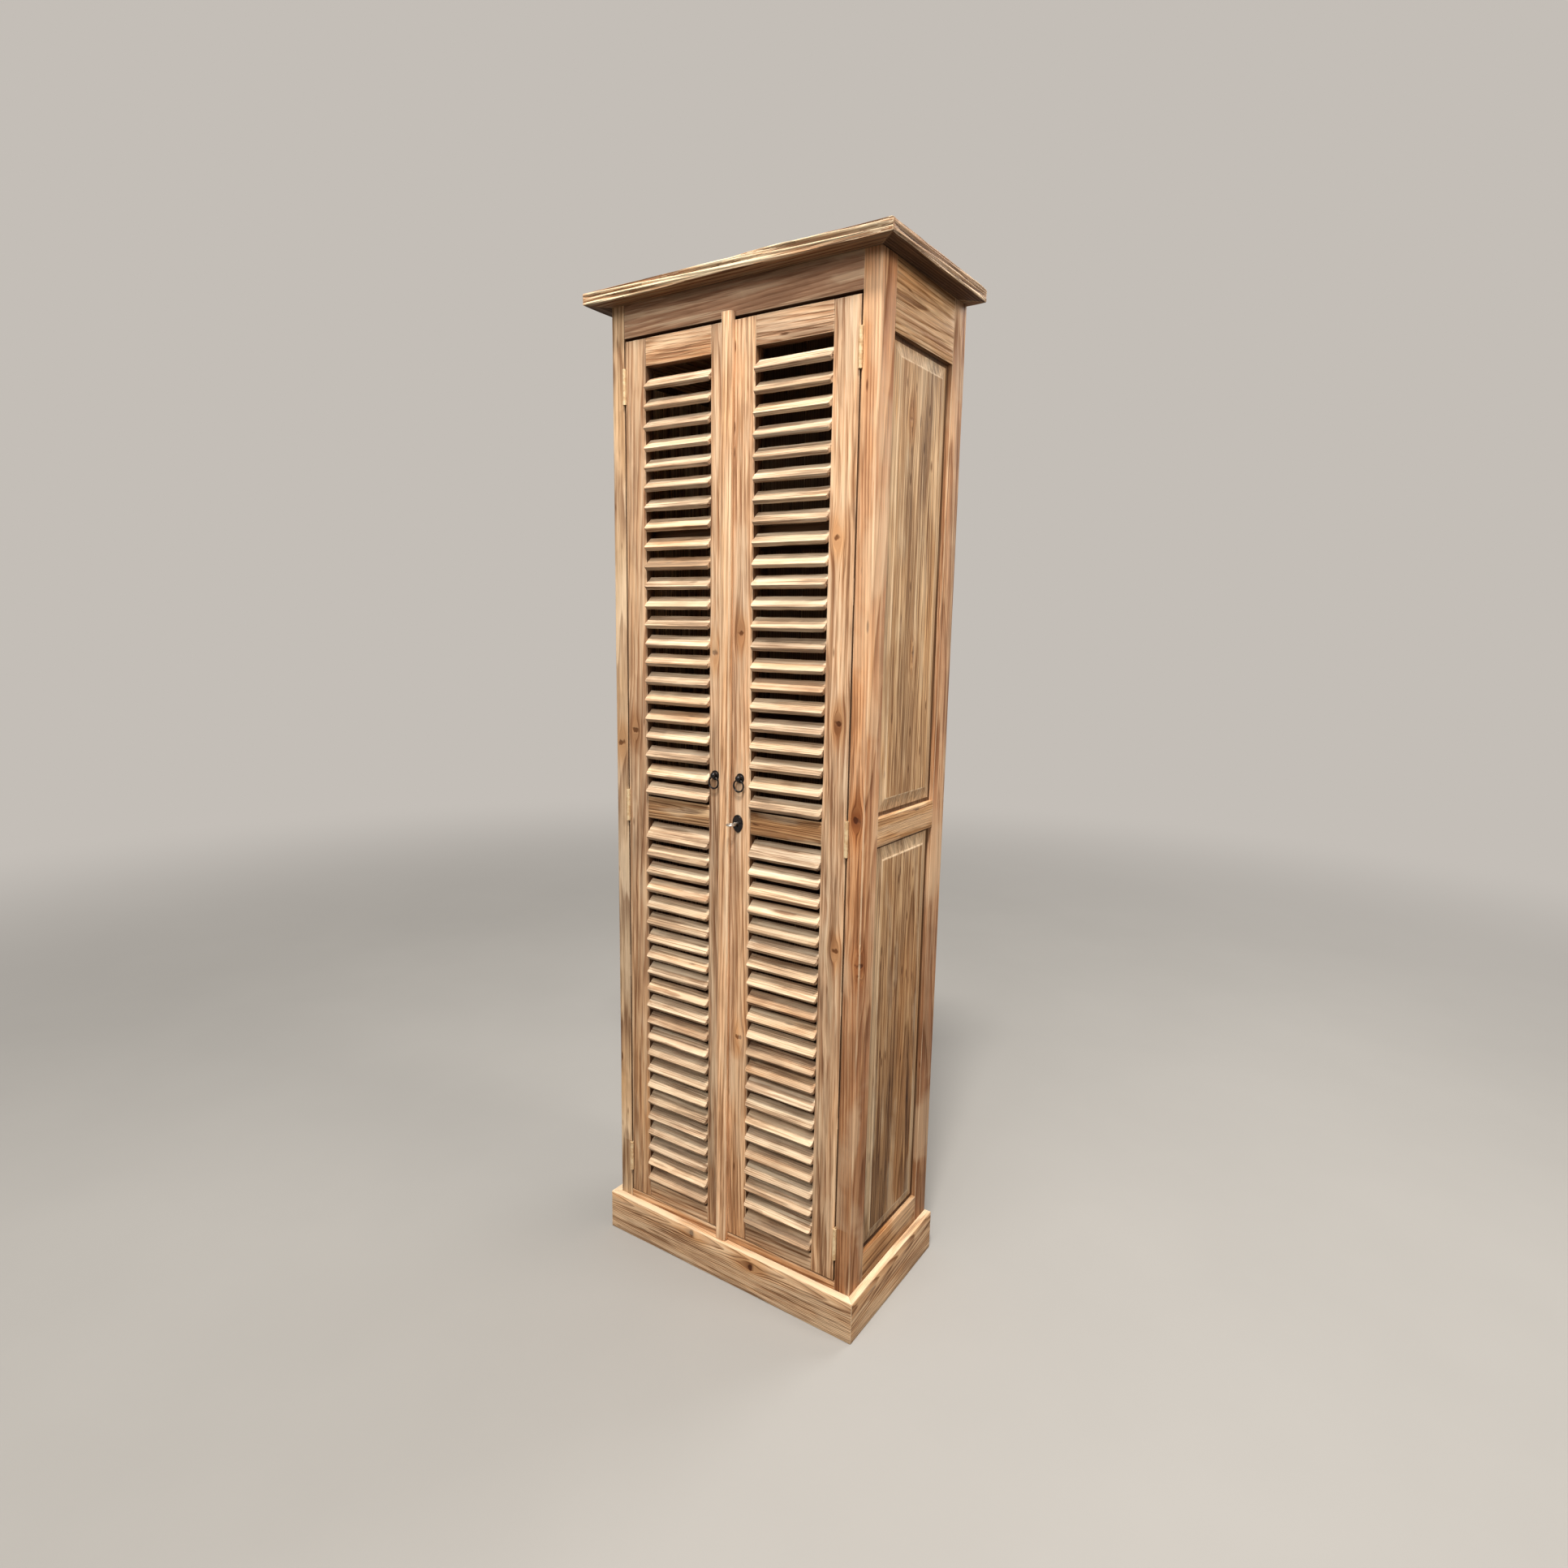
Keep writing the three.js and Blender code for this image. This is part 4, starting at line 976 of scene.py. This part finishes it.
def plinthBoards():
    low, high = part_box("plinth_front")
    thickness = high.y - low.y
    front = mitredBoard("plinth_front_wood", low, high, xAxis, low.y, thickness)
    finishPlinth(front, plinthFrontTeak, "plinth_front", [(x, low.y, z) for x, z in plinth["knots"]])
    for side, sideName in sides:
        node = f"plinth_{sideName}"
        low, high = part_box(node)
        piece = sawnBlock(node + "_wood", low, high)
        innerX = low.x if side > 0 else high.x
        for corner in piece.data.vertices:
            if abs(corner.co.x - innerX) < 1e-6 and corner.co.y < 0:
                corner.co.y += thickness
        finishPlinth(piece, shadedPlinthSideTeak, node)


plinthBoards()
print("plinth made")


# Inside: floor board, shelves and the boards of the back

inside = {
    "floorHalf": 0.2797,
    "earX": 0.2925,  # the floor board's ears reach into the sides
    "earY": (-0.1035, 0.1415), "shelfHalf": 0.2798, "shelves": 4, "backBoards": 5,
    # the back's share is painted shade on its inner face
    "backGap": 0.0002, "backArris": 0.0016, "backShadeShare": 0.72,
}


def floorBoard():
    low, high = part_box("floor_board")
    half, earY = inside["floorHalf"], inside["earY"]
    pieces = [nodeBoard("floor_board", xAxis, 10, {xAxis: (-half, half)})]
    for side, sideName in sides:
        x = sorted((side * half, side * inside["earX"]))
        pieces.append(sawnBlock("floor_ear", (x[0], earY[0], low.z), (x[1], earY[1], high.z)))
    finishWood(joined("floor_board_wood", pieces), floorTeak, "floor_board", tone=0.8)


def shelves():
    half = inside["shelfHalf"]
    for number in range(1, inside["shelves"] + 1):
        node = f"shelf_{number}"
        finishWood(nodeBoard(node, xAxis, 10, {xAxis: (-half, half)}), shelfTeak, node)


# painted shade on the back's inner face, inside the cabinet
def backShade(centre, normal):
    return inside["backShadeShare"] * float(normal.y < -0.5)


def backBoards():
    low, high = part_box("back_panel")
    width, gap = (high.x - low.x) / inside["backBoards"], inside["backGap"]
    for number in range(inside["backBoards"]):
        first = (low.x + width * number + gap, low.y, low.z)
        last = (low.x + width * (number + 1) - gap, high.y, high.z)
        piece = board(f"back_board_{number + 1}", first, last, zAxis, 4, inside["backArris"])
        finishWood(piece, backTeak, "back_panel", grime=backShade)


floorBoard()
shelves()
backBoards()
print("inside made")


# Doors

door = {
    "arris": 0.0014, "grooves": 0.001, "outerX": 0.277, "openingX": (0.053, 0.222),
    "knots": {  # x and z on the door's front
        "right_door_outer_stile": [(0.240, 1.599), (0.252, 1.260), (0.259, 0.816)],
        "left_door_outer_stile": [(-0.258, 1.209)],
        "right_door_inner_stile": [(0.030, 0.576), (0.025, 1.423)],
        "left_door_inner_stile": [(-0.040, 1.382)],
    },
    "stileTone": {
        "right_door_outer_stile": 0.9,
        "left_door_outer_stile": 0.3,
        "right_door_inner_stile": 0.9,
        "left_door_inner_stile": 0.5,
    },
    "railTone": {"bottom_rail": 0.45, "mid_rail": 0.5, "top_rail": 0.75},
}
keyhole = {
    "x": 0.022, "z": 1.040, "radius": 0.003, "depth": (-0.006, 0.027), "slotHalf": 0.0017,
    "slotTop": 0.0004, "slotDrop": 0.0085,
}


def cutKeyhole(piece):
    x, z, (front, back) = keyhole["x"], keyhole["z"], keyhole["depth"]
    cutAway(piece, doorBar("keyholeBore", keyhole["radius"], x, z, front, back, 24))
    half = keyhole["slotHalf"]
    slotLow = (x - half, bodyFront + front, z - keyhole["slotDrop"])
    slotHigh = (x + half, bodyFront + back, z - keyhole["slotTop"])
    cutAway(piece, sawnBlock("slot", slotLow, slotHigh))


def doorBoards(side, sideName):
    body = f"{sideName}_door"
    for place in ("outer_stile", "inner_stile"):
        node = f"{body}_{place}"
        piece = nodeBoard(node, zAxis, 3, arris=door["arris"], undulation=door["grooves"])
        if place == "outer_stile":
            cutHingeSeats(piece, side, door["outerX"], -1)
        elif sideName == "right":
            cutKeyhole(piece)
        grime = jointShadeAndDirt((1, 0, 0), (-1, 0, 0), up, down)
        knots = [(x, bodyFront, z) for x, z in door["knots"][node]]
        finishWood(piece, stileTeak, node, body, tone=door["stileTone"][node], grime=grime, knots=knots)
    for place, tone in door["railTone"].items():
        node = f"{body}_{place}"
        piece = nodeBoard(node, xAxis, 3, {xAxis: [side * value for value in door["openingX"]]})
        kind = midRailTeak if place == "mid_rail" else railTeak
        finishWood(piece, kind, node, body, tone=tone, grime=jointShadeAndDirt(up, down))


slat = {
    "count": 22, "width": 0.031, "thickness": 0.0098, "tilt": math.radians(40),
    "topWidth": 0.042,  # the top slat of a lower field
    "topTilt": math.radians(47), "cornerRound": 0.0045, "noseRound": 0.0014, "arris": 0.0006,
    "grooves": (0.0021, 0.08, 0.009), "cutsAlong": 12, "cutsAcross": 2,
    "projection": 0.011, "topMargin": 0.049, "bottomMargin": 0.004,
    "endGap": 0.0003, "wobble": math.radians(1.2), "shiftY": 0.0007, "shiftZ": 0.0006,
    # the nose and underside shares are painted shade
    "noseShade": 0.35, "undersideShade": 0.5,
}


def slatPattern(length, width, tilt):
    half = Vector((length / 2, width / 2, slat["thickness"] / 2))
    piece = sawnBlock("slatPattern", -half, half)
    noseY = -half.y + slat["cornerRound"] * 1.01

    def noseCorner(start, end):
        return start.y < 0 and end.y < 0 and abs(start.z - end.z) > slat["thickness"] * 0.9

    def noseEdge(start, end):
        # the nose's long edges with the curves at their ends, and not its short upright ones
        level = abs(start.z - end.z) < 1e-6 and abs(start.z) > half.z * 0.9
        return level and start.y < noseY and end.y < noseY and (start - end).length < length * 0.999

    bevelPicked(piece, noseCorner, slat["cornerRound"], 3)
    bevelPicked(piece, noseEdge, slat["noseRound"], 3)
    easeEdges(piece, slat["arris"], 1, 50)
    ringCuts(piece, xAxis, slat["cutsAlong"])
    ringCuts(piece, yAxis, slat["cutsAcross"])
    return tilted(piece, tilt)


def slatHalfSize(width, tilt):
    # half the depth and half the height of a slat once it is tilted
    wide, thick = width / 2, slat["thickness"] / 2
    return wide * math.cos(tilt) + thick * math.sin(tilt), wide * math.sin(tilt) + thick * math.cos(tilt)


def slatShade(centre, normal):
    # painted shade on the nose, which looks down, and more on the underside
    if normal.z > -0.35:
        return 0.0
    return slat["noseShade"] if normal.y < -0.3 else slat["undersideShade"]


def louvreBank(side, sideName, fieldName, belowRail, aboveRail):
    body = f"{sideName}_door"
    node = f"{body}_{fieldName}"
    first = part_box(f"{body}_{belowRail}")[1].z + slat["bottomMargin"]
    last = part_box(f"{body}_{aboveRail}")[0].z - slat["topMargin"]
    pitch = (last - first) / (slat["count"] - 1)
    x = sorted(side * value for value in door["openingX"])
    length = x[1] - x[0] - 2 * slat["endGap"]
    kinds = [(slat["width"], slat["tilt"])] * slat["count"]
    if fieldName == "lower_louvres":
        kinds[-1] = (slat["topWidth"], slat["topTilt"])
    patterns = {kind: slatPattern(length, *kind) for kind in set(kinds)}
    chance = random.Random(node)
    slats = []
    for number, kind in enumerate(kinds):
        piece = copyOf(patterns[kind], f"{node}_slat_{number}")
        halfDepth, halfHeight = slatHalfSize(*kind)
        tilted(piece, chance.uniform(-1, 1) * slat["wobble"])
        y, z = bodyFront - slat["projection"] + halfDepth, first + pitch * number + halfHeight
        shift = Vector((0, chance.uniform(-1, 1) * slat["shiftY"], chance.uniform(-1, 1) * slat["shiftZ"]))
        moved(piece, Vector(((x[0] + x[1]) / 2, y, z)) + shift)
        weather(piece, xAxis, *slat["grooves"])
        giveGrain(piece, louvreTeak, grime=slatShade)
        slats.append(piece)
    for pattern in patterns.values():
        bpy.data.objects.remove(pattern)
    dress(joined(node + "_wood", slats), louvreTeak, node, body)


for side, sideName in sides:
    doorBoards(side, sideName)
    louvreBank(side, sideName, "lower_louvres", "bottom_rail", "mid_rail")
    louvreBank(side, sideName, "upper_louvres", "mid_rail", "top_rail")
print("doors and louvres made")

strip = {
    "round": 0.005, "arris": 0.001, "grooves": (0.001, 0.2, 0.012), "cuts": 80, "tone": 0.95,
    "wearShare": 0.6,
}


def coverStrip():
    low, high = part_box("cover_strip")
    piece = sawnBlock("cover_strip_wood", low, high)

    def frontEdge(start, end):
        return max(start.y, end.y) < low.y + 1e-5 and abs(start.z - end.z) > 1

    bevelPicked(piece, frontEdge, strip["round"], 5)
    easeEdges(piece, strip["arris"])
    ringCuts(piece, zAxis, strip["cuts"])
    weather(piece, zAxis, *strip["grooves"])
    wear = arrisWear(strip["wearShare"])
    finishWood(piece, stripTeak, "cover_strip", "right_door", tone=strip["tone"], wear=wear)


coverStrip()
print("cover strip made")


# Butt hinges: one right-hand hinge modelled round its own axis, then copied

hinge = {
    "length": 0.070, "barrel": 0.0042, "pin": 0.0019, "leaf": 0.0016, "spacing": 0.001,
    "leafFront": 0.0045, "leafBack": 0.0215, "cornerRound": 0.003, "arris": 0.00015, "knuckles": 5,
    "gap": 0.0002, "webOverlap": 0.0005, "screwBack": 0.0128, "screwRows": (-0.025, 0.0, 0.025),
}
screw = {
    "radius": 0.0028, "deep": 0.0008, "proud": 0.00012, "arris": 0.00012,
    "slotHalf": 0.0005, "slotReach": 0.0033,
}


def screwHead(centre, axis, outward):
    # a countersunk head with a straight slot, just proud of the plate
    start, end = Vector(centre), Vector(centre)
    start[axis] -= outward * screw["deep"]
    end[axis] += outward * screw["proud"]
    head = roundBar("screwHead", screw["radius"], start, end, axis, 20)
    slot = Vector([screw["slotHalf"]] * 3)
    slot.z = screw["slotReach"]
    cutAway(head, sawnBlock("slot", end - slot, end + slot))
    easeEdges(head, screw["arris"], 1)
    return head


def hingeHalf(name, leafSide, holdsPin):
    half, front, back = hinge["length"] / 2, hinge["leafFront"], hinge["leafBack"]
    knuckle = hinge["length"] / hinge["knuckles"]
    x = sorted(leafSide * (hinge["spacing"] / 2 + part) for part in (0, hinge["leaf"]))
    plate = sawnBlock(name, (x[0], front, -half), (x[1], back, half))

    def cornerEdge(start, end):
        return min(start.y, end.y) > back - 1e-5 and abs(start.x - end.x) > 0.001

    bevelPicked(plate, cornerEdge, hinge["cornerRound"], 4)
    easeEdges(plate, hinge["arris"], 1)
    parts = [plate]
    for number in range(0 if holdsPin else 1, hinge["knuckles"], 2):
        bottom = -half + knuckle * number + hinge["gap"] / 2
        top = bottom + knuckle - hinge["gap"]
        barrel = roundBar("knuckle", hinge["barrel"], (0, 0, bottom), (0, 0, top), zAxis)
        easeEdges(barrel, hinge["arris"], 1)
        parts += [barrel, sawnBlock("web", (x[0], 0, bottom), (x[1], front + hinge["webOverlap"], top))]
    if holdsPin:
        end = half - hinge["gap"]
        parts.append(roundBar("pin", hinge["pin"], (0, 0, -end), (0, 0, end), zAxis, 20))
    face = x[0] if leafSide > 0 else x[1]
    parts += [screwHead((face, hinge["screwBack"], row), xAxis, -leafSide) for row in hinge["screwRows"]]
    return joined(name, parts)


def hingeSet():
    frameHalf = hingeHalf("framePattern", 1, True)
    doorHalf = hingeHalf("doorPattern", -1, False)
    for side, sideName in sides:
        halves = ((frameHalf, "frame_leaf", "carcase"), (doorHalf, "door_leaf", f"{sideName}_door"))
        for place, height in hingeHeights.items():
            for pattern, part, body in halves:
                node = f"{sideName}_{place}_hinge_{part}"
                piece = copyOf(pattern, node + "_metal")
                if side < 0:
                    mirrored(piece)
                moved(piece, (side * hingeAxis["x"], hingeAxis["y"], height))
                dress(piece, brass, node, body)
    bpy.data.objects.remove(frameHalf)
    bpy.data.objects.remove(doorHalf)


hingeSet()
print("hinges made")


# Ring pulls

pull = {
    "height": 1.133,
    "x": {"left": -0.037, "right": 0.027},
    "plateRadius": 0.010, "plateThickness": 0.0015,
    "plateSteps": ((0.0011, 0), (0.0004, -0.0005), (0.0016, 0), (0.0012, 0.0009)),
    "plateArris": 0.00025, "ballRadius": 0.007, "ballForward": 0.006, "shank": 0.002,
    "shankEnd": 0.016, "ringRadius": 0.012, "wire": 0.0018, "wireWear": (0.0003, 0.006, 0.006),
    "eyeDrop": 0.003, "eyeRoom": 0.0005, "eyeHalf": 0.008,
}


def pullRing(name, x):
    y, z = bodyFront - pull["ballForward"], pull["height"] - pull["eyeDrop"] - pull["ringRadius"]
    return added(
        name, bpy.ops.mesh.primitive_torus_add, major_segments=64, minor_segments=14, location=(x, y, z),
        rotation=(math.pi / 2, 0, 0), major_radius=pull["ringRadius"], minor_radius=pull["wire"],
    )


def flaredEye(x):
    # the hole for the ring, wider towards both sides, as the ring's curve needs when it swings
    middle = Vector((x, bodyFront - pull["ballForward"], pull["height"] - pull["eyeDrop"]))
    half = Vector((pull["eyeHalf"], 0, 0))
    eye = roundBar("eye", pull["wire"], middle - half, middle + half, xAxis, 24)
    ringCuts(eye, xAxis, 15)
    for corner in eye.data.vertices:
        away = corner.co - middle
        across, away.x = away.x, 0
        curve = pull["ringRadius"] - math.sqrt(pull["ringRadius"] ** 2 - across ** 2)
        away.length = pull["wire"] + pull["eyeRoom"] + curve
        corner.co = middle + away + Vector((across, 0, 0))
    return eye


def pullKnob(name, x):
    z = pull["height"]
    plate = doorBar(name, pull["plateRadius"], x, z, -pull["plateThickness"], 0, 48)
    insetPicked(plate, lambda centre, normal: normal.y < -0.9, pull["plateSteps"])
    easeEdges(plate, pull["plateArris"], 2, 25)
    ball = added(
        "ball", bpy.ops.mesh.primitive_uv_sphere_add, segments=40, ring_count=24, radius=pull["ballRadius"],
        location=(x, bodyFront - pull["ballForward"], z), rotation=(math.pi / 2, 0, 0),
    )
    for corner in ball.data.vertices:
        corner.co.y = min(corner.co.y, bodyFront - 0.0002)  # flat where it meets the door
    cutAway(ball, flaredEye(x))
    shank = doorBar("shank", pull["shank"], x, z, -0.001, pull["shankEnd"], 16)
    return joined(name, [plate, ball, shank])


def ringPulls():
    for sideName, x in pull["x"].items():
        knob = pullKnob(f"{sideName}_pull_ball", x)
        dress(knob, blackIron, f"{sideName}_pull_knob", f"{sideName}_door")
        ring = pullRing(f"{sideName}_pull_wire", x)
        weather(ring, zAxis, *pull["wireWear"])
        dress(ring, blackIron, f"{sideName}_pull_ring", f"{sideName}_ring")


ringPulls()
print("ring pulls made")


# Escutcheon, lock and key

escutcheon = {
    "halfWidth": 0.013, "rise": 0.017, "drop": 0.020, "thickness": 0.0012, "rim": 0.0016,
    "crown": 0.0009, "arris": 0.00025, "pinRadius": 0.0011, "pinDepth": (-0.0026, -0.0005),
    "pinArris": 0.0004, "pinRise": (-0.0152, 0.0135),
}


def escutcheonPlate():
    x, z = keyhole["x"], keyhole["z"]
    plate = added(
        "plate", bpy.ops.mesh.primitive_circle_add, vertices=56, radius=1, fill_type="NGON",
        rotation=(math.pi / 2, 0, 0),
    )
    for corner in plate.data.vertices:
        high, across = corner.co.z, corner.co.x
        if high < 0:
            across *= 1 - 0.28 * abs(high) ** 2.2 * (1 - abs(across))  # drawn in towards the point
            high = -(abs(high) ** 1.1)
        rise = high * (escutcheon["drop"] if high < 0 else escutcheon["rise"])
        corner.co = (x + across * escutcheon["halfWidth"], bodyFront, z + rise)
    editAll(plate)
    bpy.ops.mesh.extrude_region_move(TRANSFORM_OT_translate={"value": (0, -escutcheon["thickness"], 0)})
    bpy.ops.object.mode_set(mode="OBJECT")
    turnOutwards(plate)
    cutKeyhole(plate)
    half = escutcheon["rim"] / 2
    insetPicked(plate, lambda centre, normal: normal.y < -0.9, [(half, 0), (half, escutcheon["crown"])])
    easeEdges(plate, escutcheon["arris"], 2, 25)
    parts = [plate]
    for rise in escutcheon["pinRise"]:
        pin = doorBar("pin", escutcheon["pinRadius"], x, z + rise, *escutcheon["pinDepth"], 16)
        easeEdges(pin, escutcheon["pinArris"])
        parts.append(pin)
    dress(joined("escutcheon_plate", parts), blackIron, "key_escutcheon", "right_door")


key = {  # distances back from the body's front where two are given
    "shank": 0.0025, "shankDepth": (-0.016, 0.0347), "shankArris": 0.0004, "collar": 0.0033,
    "collarDepth": (-0.0125, -0.0102), "collarArris": 0.0005, "bow": 0.0083, "bowWire": 0.0017,
    "bitDepth": (0.0268, 0.0317), "bitReach": (-0.008, -0.001), "bitHalf": 0.0012,
    "bitArris": 0.0002, "notchDepth": (0.0286, 0.0298), "notchReach": (-0.009, -0.0055),
    "notchHalf": 0.003,
}


def keyBlock(name, half, depth, drop):
    x, z = keyhole["x"], keyhole["z"]
    low, high = ((x + way * half, bodyFront + depth[end], z + drop[end]) for way, end in ((-1, 0), (1, 1)))
    return sawnBlock(name, low, high)


def lockKey():
    x, z = keyhole["x"], keyhole["z"]
    shank = doorBar("key_shank", key["shank"], x, z, *key["shankDepth"])
    easeEdges(shank, key["shankArris"])
    collar = doorBar("collar", key["collar"], x, z, *key["collarDepth"])
    easeEdges(collar, key["collarArris"])
    bowY = bodyFront + key["shankDepth"][0] - key["bow"]
    bow = added(
        "bow", bpy.ops.mesh.primitive_torus_add, major_segments=56, minor_segments=14,
        major_radius=key["bow"], minor_radius=key["bowWire"], location=(x, bowY, z),
    )
    bit = keyBlock("bit", key["bitHalf"], key["bitDepth"], key["bitReach"])
    cutAway(bit, keyBlock("notch", key["notchHalf"], key["notchDepth"], key["notchReach"]))
    easeEdges(bit, key["bitArris"], 1)
    dress(joined("key_steel", [shank, collar, bow, bit]), steel, "key", "key")


lock = {"screwInset": 0.006, "caseArris": 0.0005, "boltArris": 0.0006}


def lockParts():
    low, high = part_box("lock_case")
    case = copyOf(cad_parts["lock_case"], "lock_case_steel")
    case.parent = None
    for old in list(case.keys()):
        del case[old]
    editAll(case)
    bpy.ops.mesh.remove_doubles(threshold=1e-6)
    bpy.ops.mesh.dissolve_limited(angle_limit=math.radians(2))
    bpy.ops.object.mode_set(mode="OBJECT")
    easeEdges(case, lock["caseArris"])
    parts, inset = [case], lock["screwInset"]
    for x in (low.x + inset, high.x - inset):
        parts += [screwHead((x, high.y, z), yAxis, 1) for z in (low.z + inset, high.z - inset)]
    dress(joined("lock_case_steel", parts), steel, "lock_case", "right_door")
    bolt = sawnBlock("lock_bolt_steel", *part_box("lock_bolt"))
    easeEdges(bolt, lock["boltArris"], 3)
    dress(bolt, steel, "lock_bolt", "lock_bolt")


escutcheonPlate()
lockKey()
lockParts()
print("lock and key made")


# Floor, light and camera

studio = {
    "floor": (161, 158, 154), "mottleShares": (0.94, 1.06), "floorUnlit": (104, 100, 95),
    "background": (196, 190, 183), "fadeFrom": 2.2, "fadeTo": 6.0, "ambient": 0.3,
}
lamps = {
    "key_lamp": {
        "place": (1.25, -2.25, 6.2), "aim": (0.0, -0.16, 1.3), "size": 0.8, "power": 350.0,
        "colour": (1.0, 0.96, 0.9),
    },
    "side_lamp": {
        "place": (3.3, 0.4, 3.2), "aim": (0.3, 0.0, 1.2), "size": 1.4, "power": 54.0,
        "colour": (1.0, 0.95, 0.88),
    },
    "fill_lamp": {
        "place": (0.3, -3.4, 4.0), "aim": (0.0, 0.0, 1.2), "size": 2.8, "power": 104.0,
        "colour": (1.0, 0.98, 0.95),
    },
    "back_lamp": {
        "place": (1.3, 3.3, 3.9), "aim": (0.0, 0.2, 1.0), "size": 2.2, "power": 80.0,
        "colour": (1.0, 0.98, 0.95),
    },
}
view = {
    "place": (1.13450, -1.65787, 1.43667),
    "turn": (80.43305, -1.01912, 33.90583),  # degrees
    "lens": 21.387,
}


def seenDirectly(tree):
    # 1 for camera, mirror and glass rays, so that metal shows the pale room too
    rays = put(tree, "LightPath").outputs
    share = calc("MAXIMUM", rays["Is Camera Ray"], rays["Is Glossy Ray"])
    return calc("MAXIMUM", share, rays["Is Transmission Ray"])


def floorAndWorld():
    pale = paint(studio["background"])
    floor = added("floor", bpy.ops.mesh.primitive_plane_add, size=60)
    material, tree, shader = emptyMaterial("pale_floor")
    place, seen = put(tree, "TexCoord").outputs["Object"], seenDirectly(tree)
    darker, lighter = ([part * share for part in paint(studio["floor"])] for share in studio["mottleShares"])
    mottled = blend(noise(place, 1.5, 1.5, 4.0), darker, lighter)
    plug(shader, {"Base Color": blend(seen, paint(studio["floorUnlit"]), mottled), "Roughness": 0.85})
    fade = times(spread(reach(place), studio["fadeFrom"], studio["fadeTo"]), seen)
    glow = put(tree, "Emission", {0: pale, 1: 1.0})
    mix = put(tree, "MixShader", {0: fade, 1: shader.outputs[0], 2: glow.outputs[0]})
    plug(tree.nodes["Material Output"], {0: mix.outputs[0]})
    floor.data.materials.append(material)
    world = bpy.data.worlds.new("studio")
    bpy.context.scene.world = world
    world.use_nodes = True
    tree = world.node_tree
    tree.nodes.clear()
    lit = put(tree, "Background", {0: (1.0, 0.98, 0.95, 1.0), 1: studio["ambient"]})
    shown = put(tree, "Background", {0: pale, 1: 1.0})
    mix = put(tree, "MixShader", {0: seenDirectly(tree), 1: lit.outputs[0], 2: shown.outputs[0]})
    put(tree, "OutputWorld", {0: mix.outputs[0]})


def placed(name, data, place, turn):
    item = bpy.data.objects.new(name, data)
    bpy.context.scene.collection.objects.link(item)
    item.location = place
    item.rotation_euler = turn
    return item


def lamp(name, look):
    data = bpy.data.lights.new(name, "AREA")
    data.shape = "DISK"
    data.size = look["size"]
    data.energy = look["power"]
    data.color = look["colour"]
    way = Vector(look["aim"]) - Vector(look["place"])
    placed(name, data, look["place"], way.to_track_quat("-Z", "Y").to_euler())


def camera():
    data = bpy.data.cameras.new("camera")
    data.sensor_fit = "HORIZONTAL"
    data.sensor_width = 36
    data.lens = view["lens"]
    data.clip_start = 0.05
    data.clip_end = 100
    turn = [math.radians(angle) for angle in view["turn"]]
    bpy.context.scene.camera = placed("camera", data, view["place"], turn)


floorAndWorld()
for name, look in lamps.items():
    lamp(name, look)
camera()
bpy.context.scene.view_settings.view_transform = "Standard"
print("studio made")
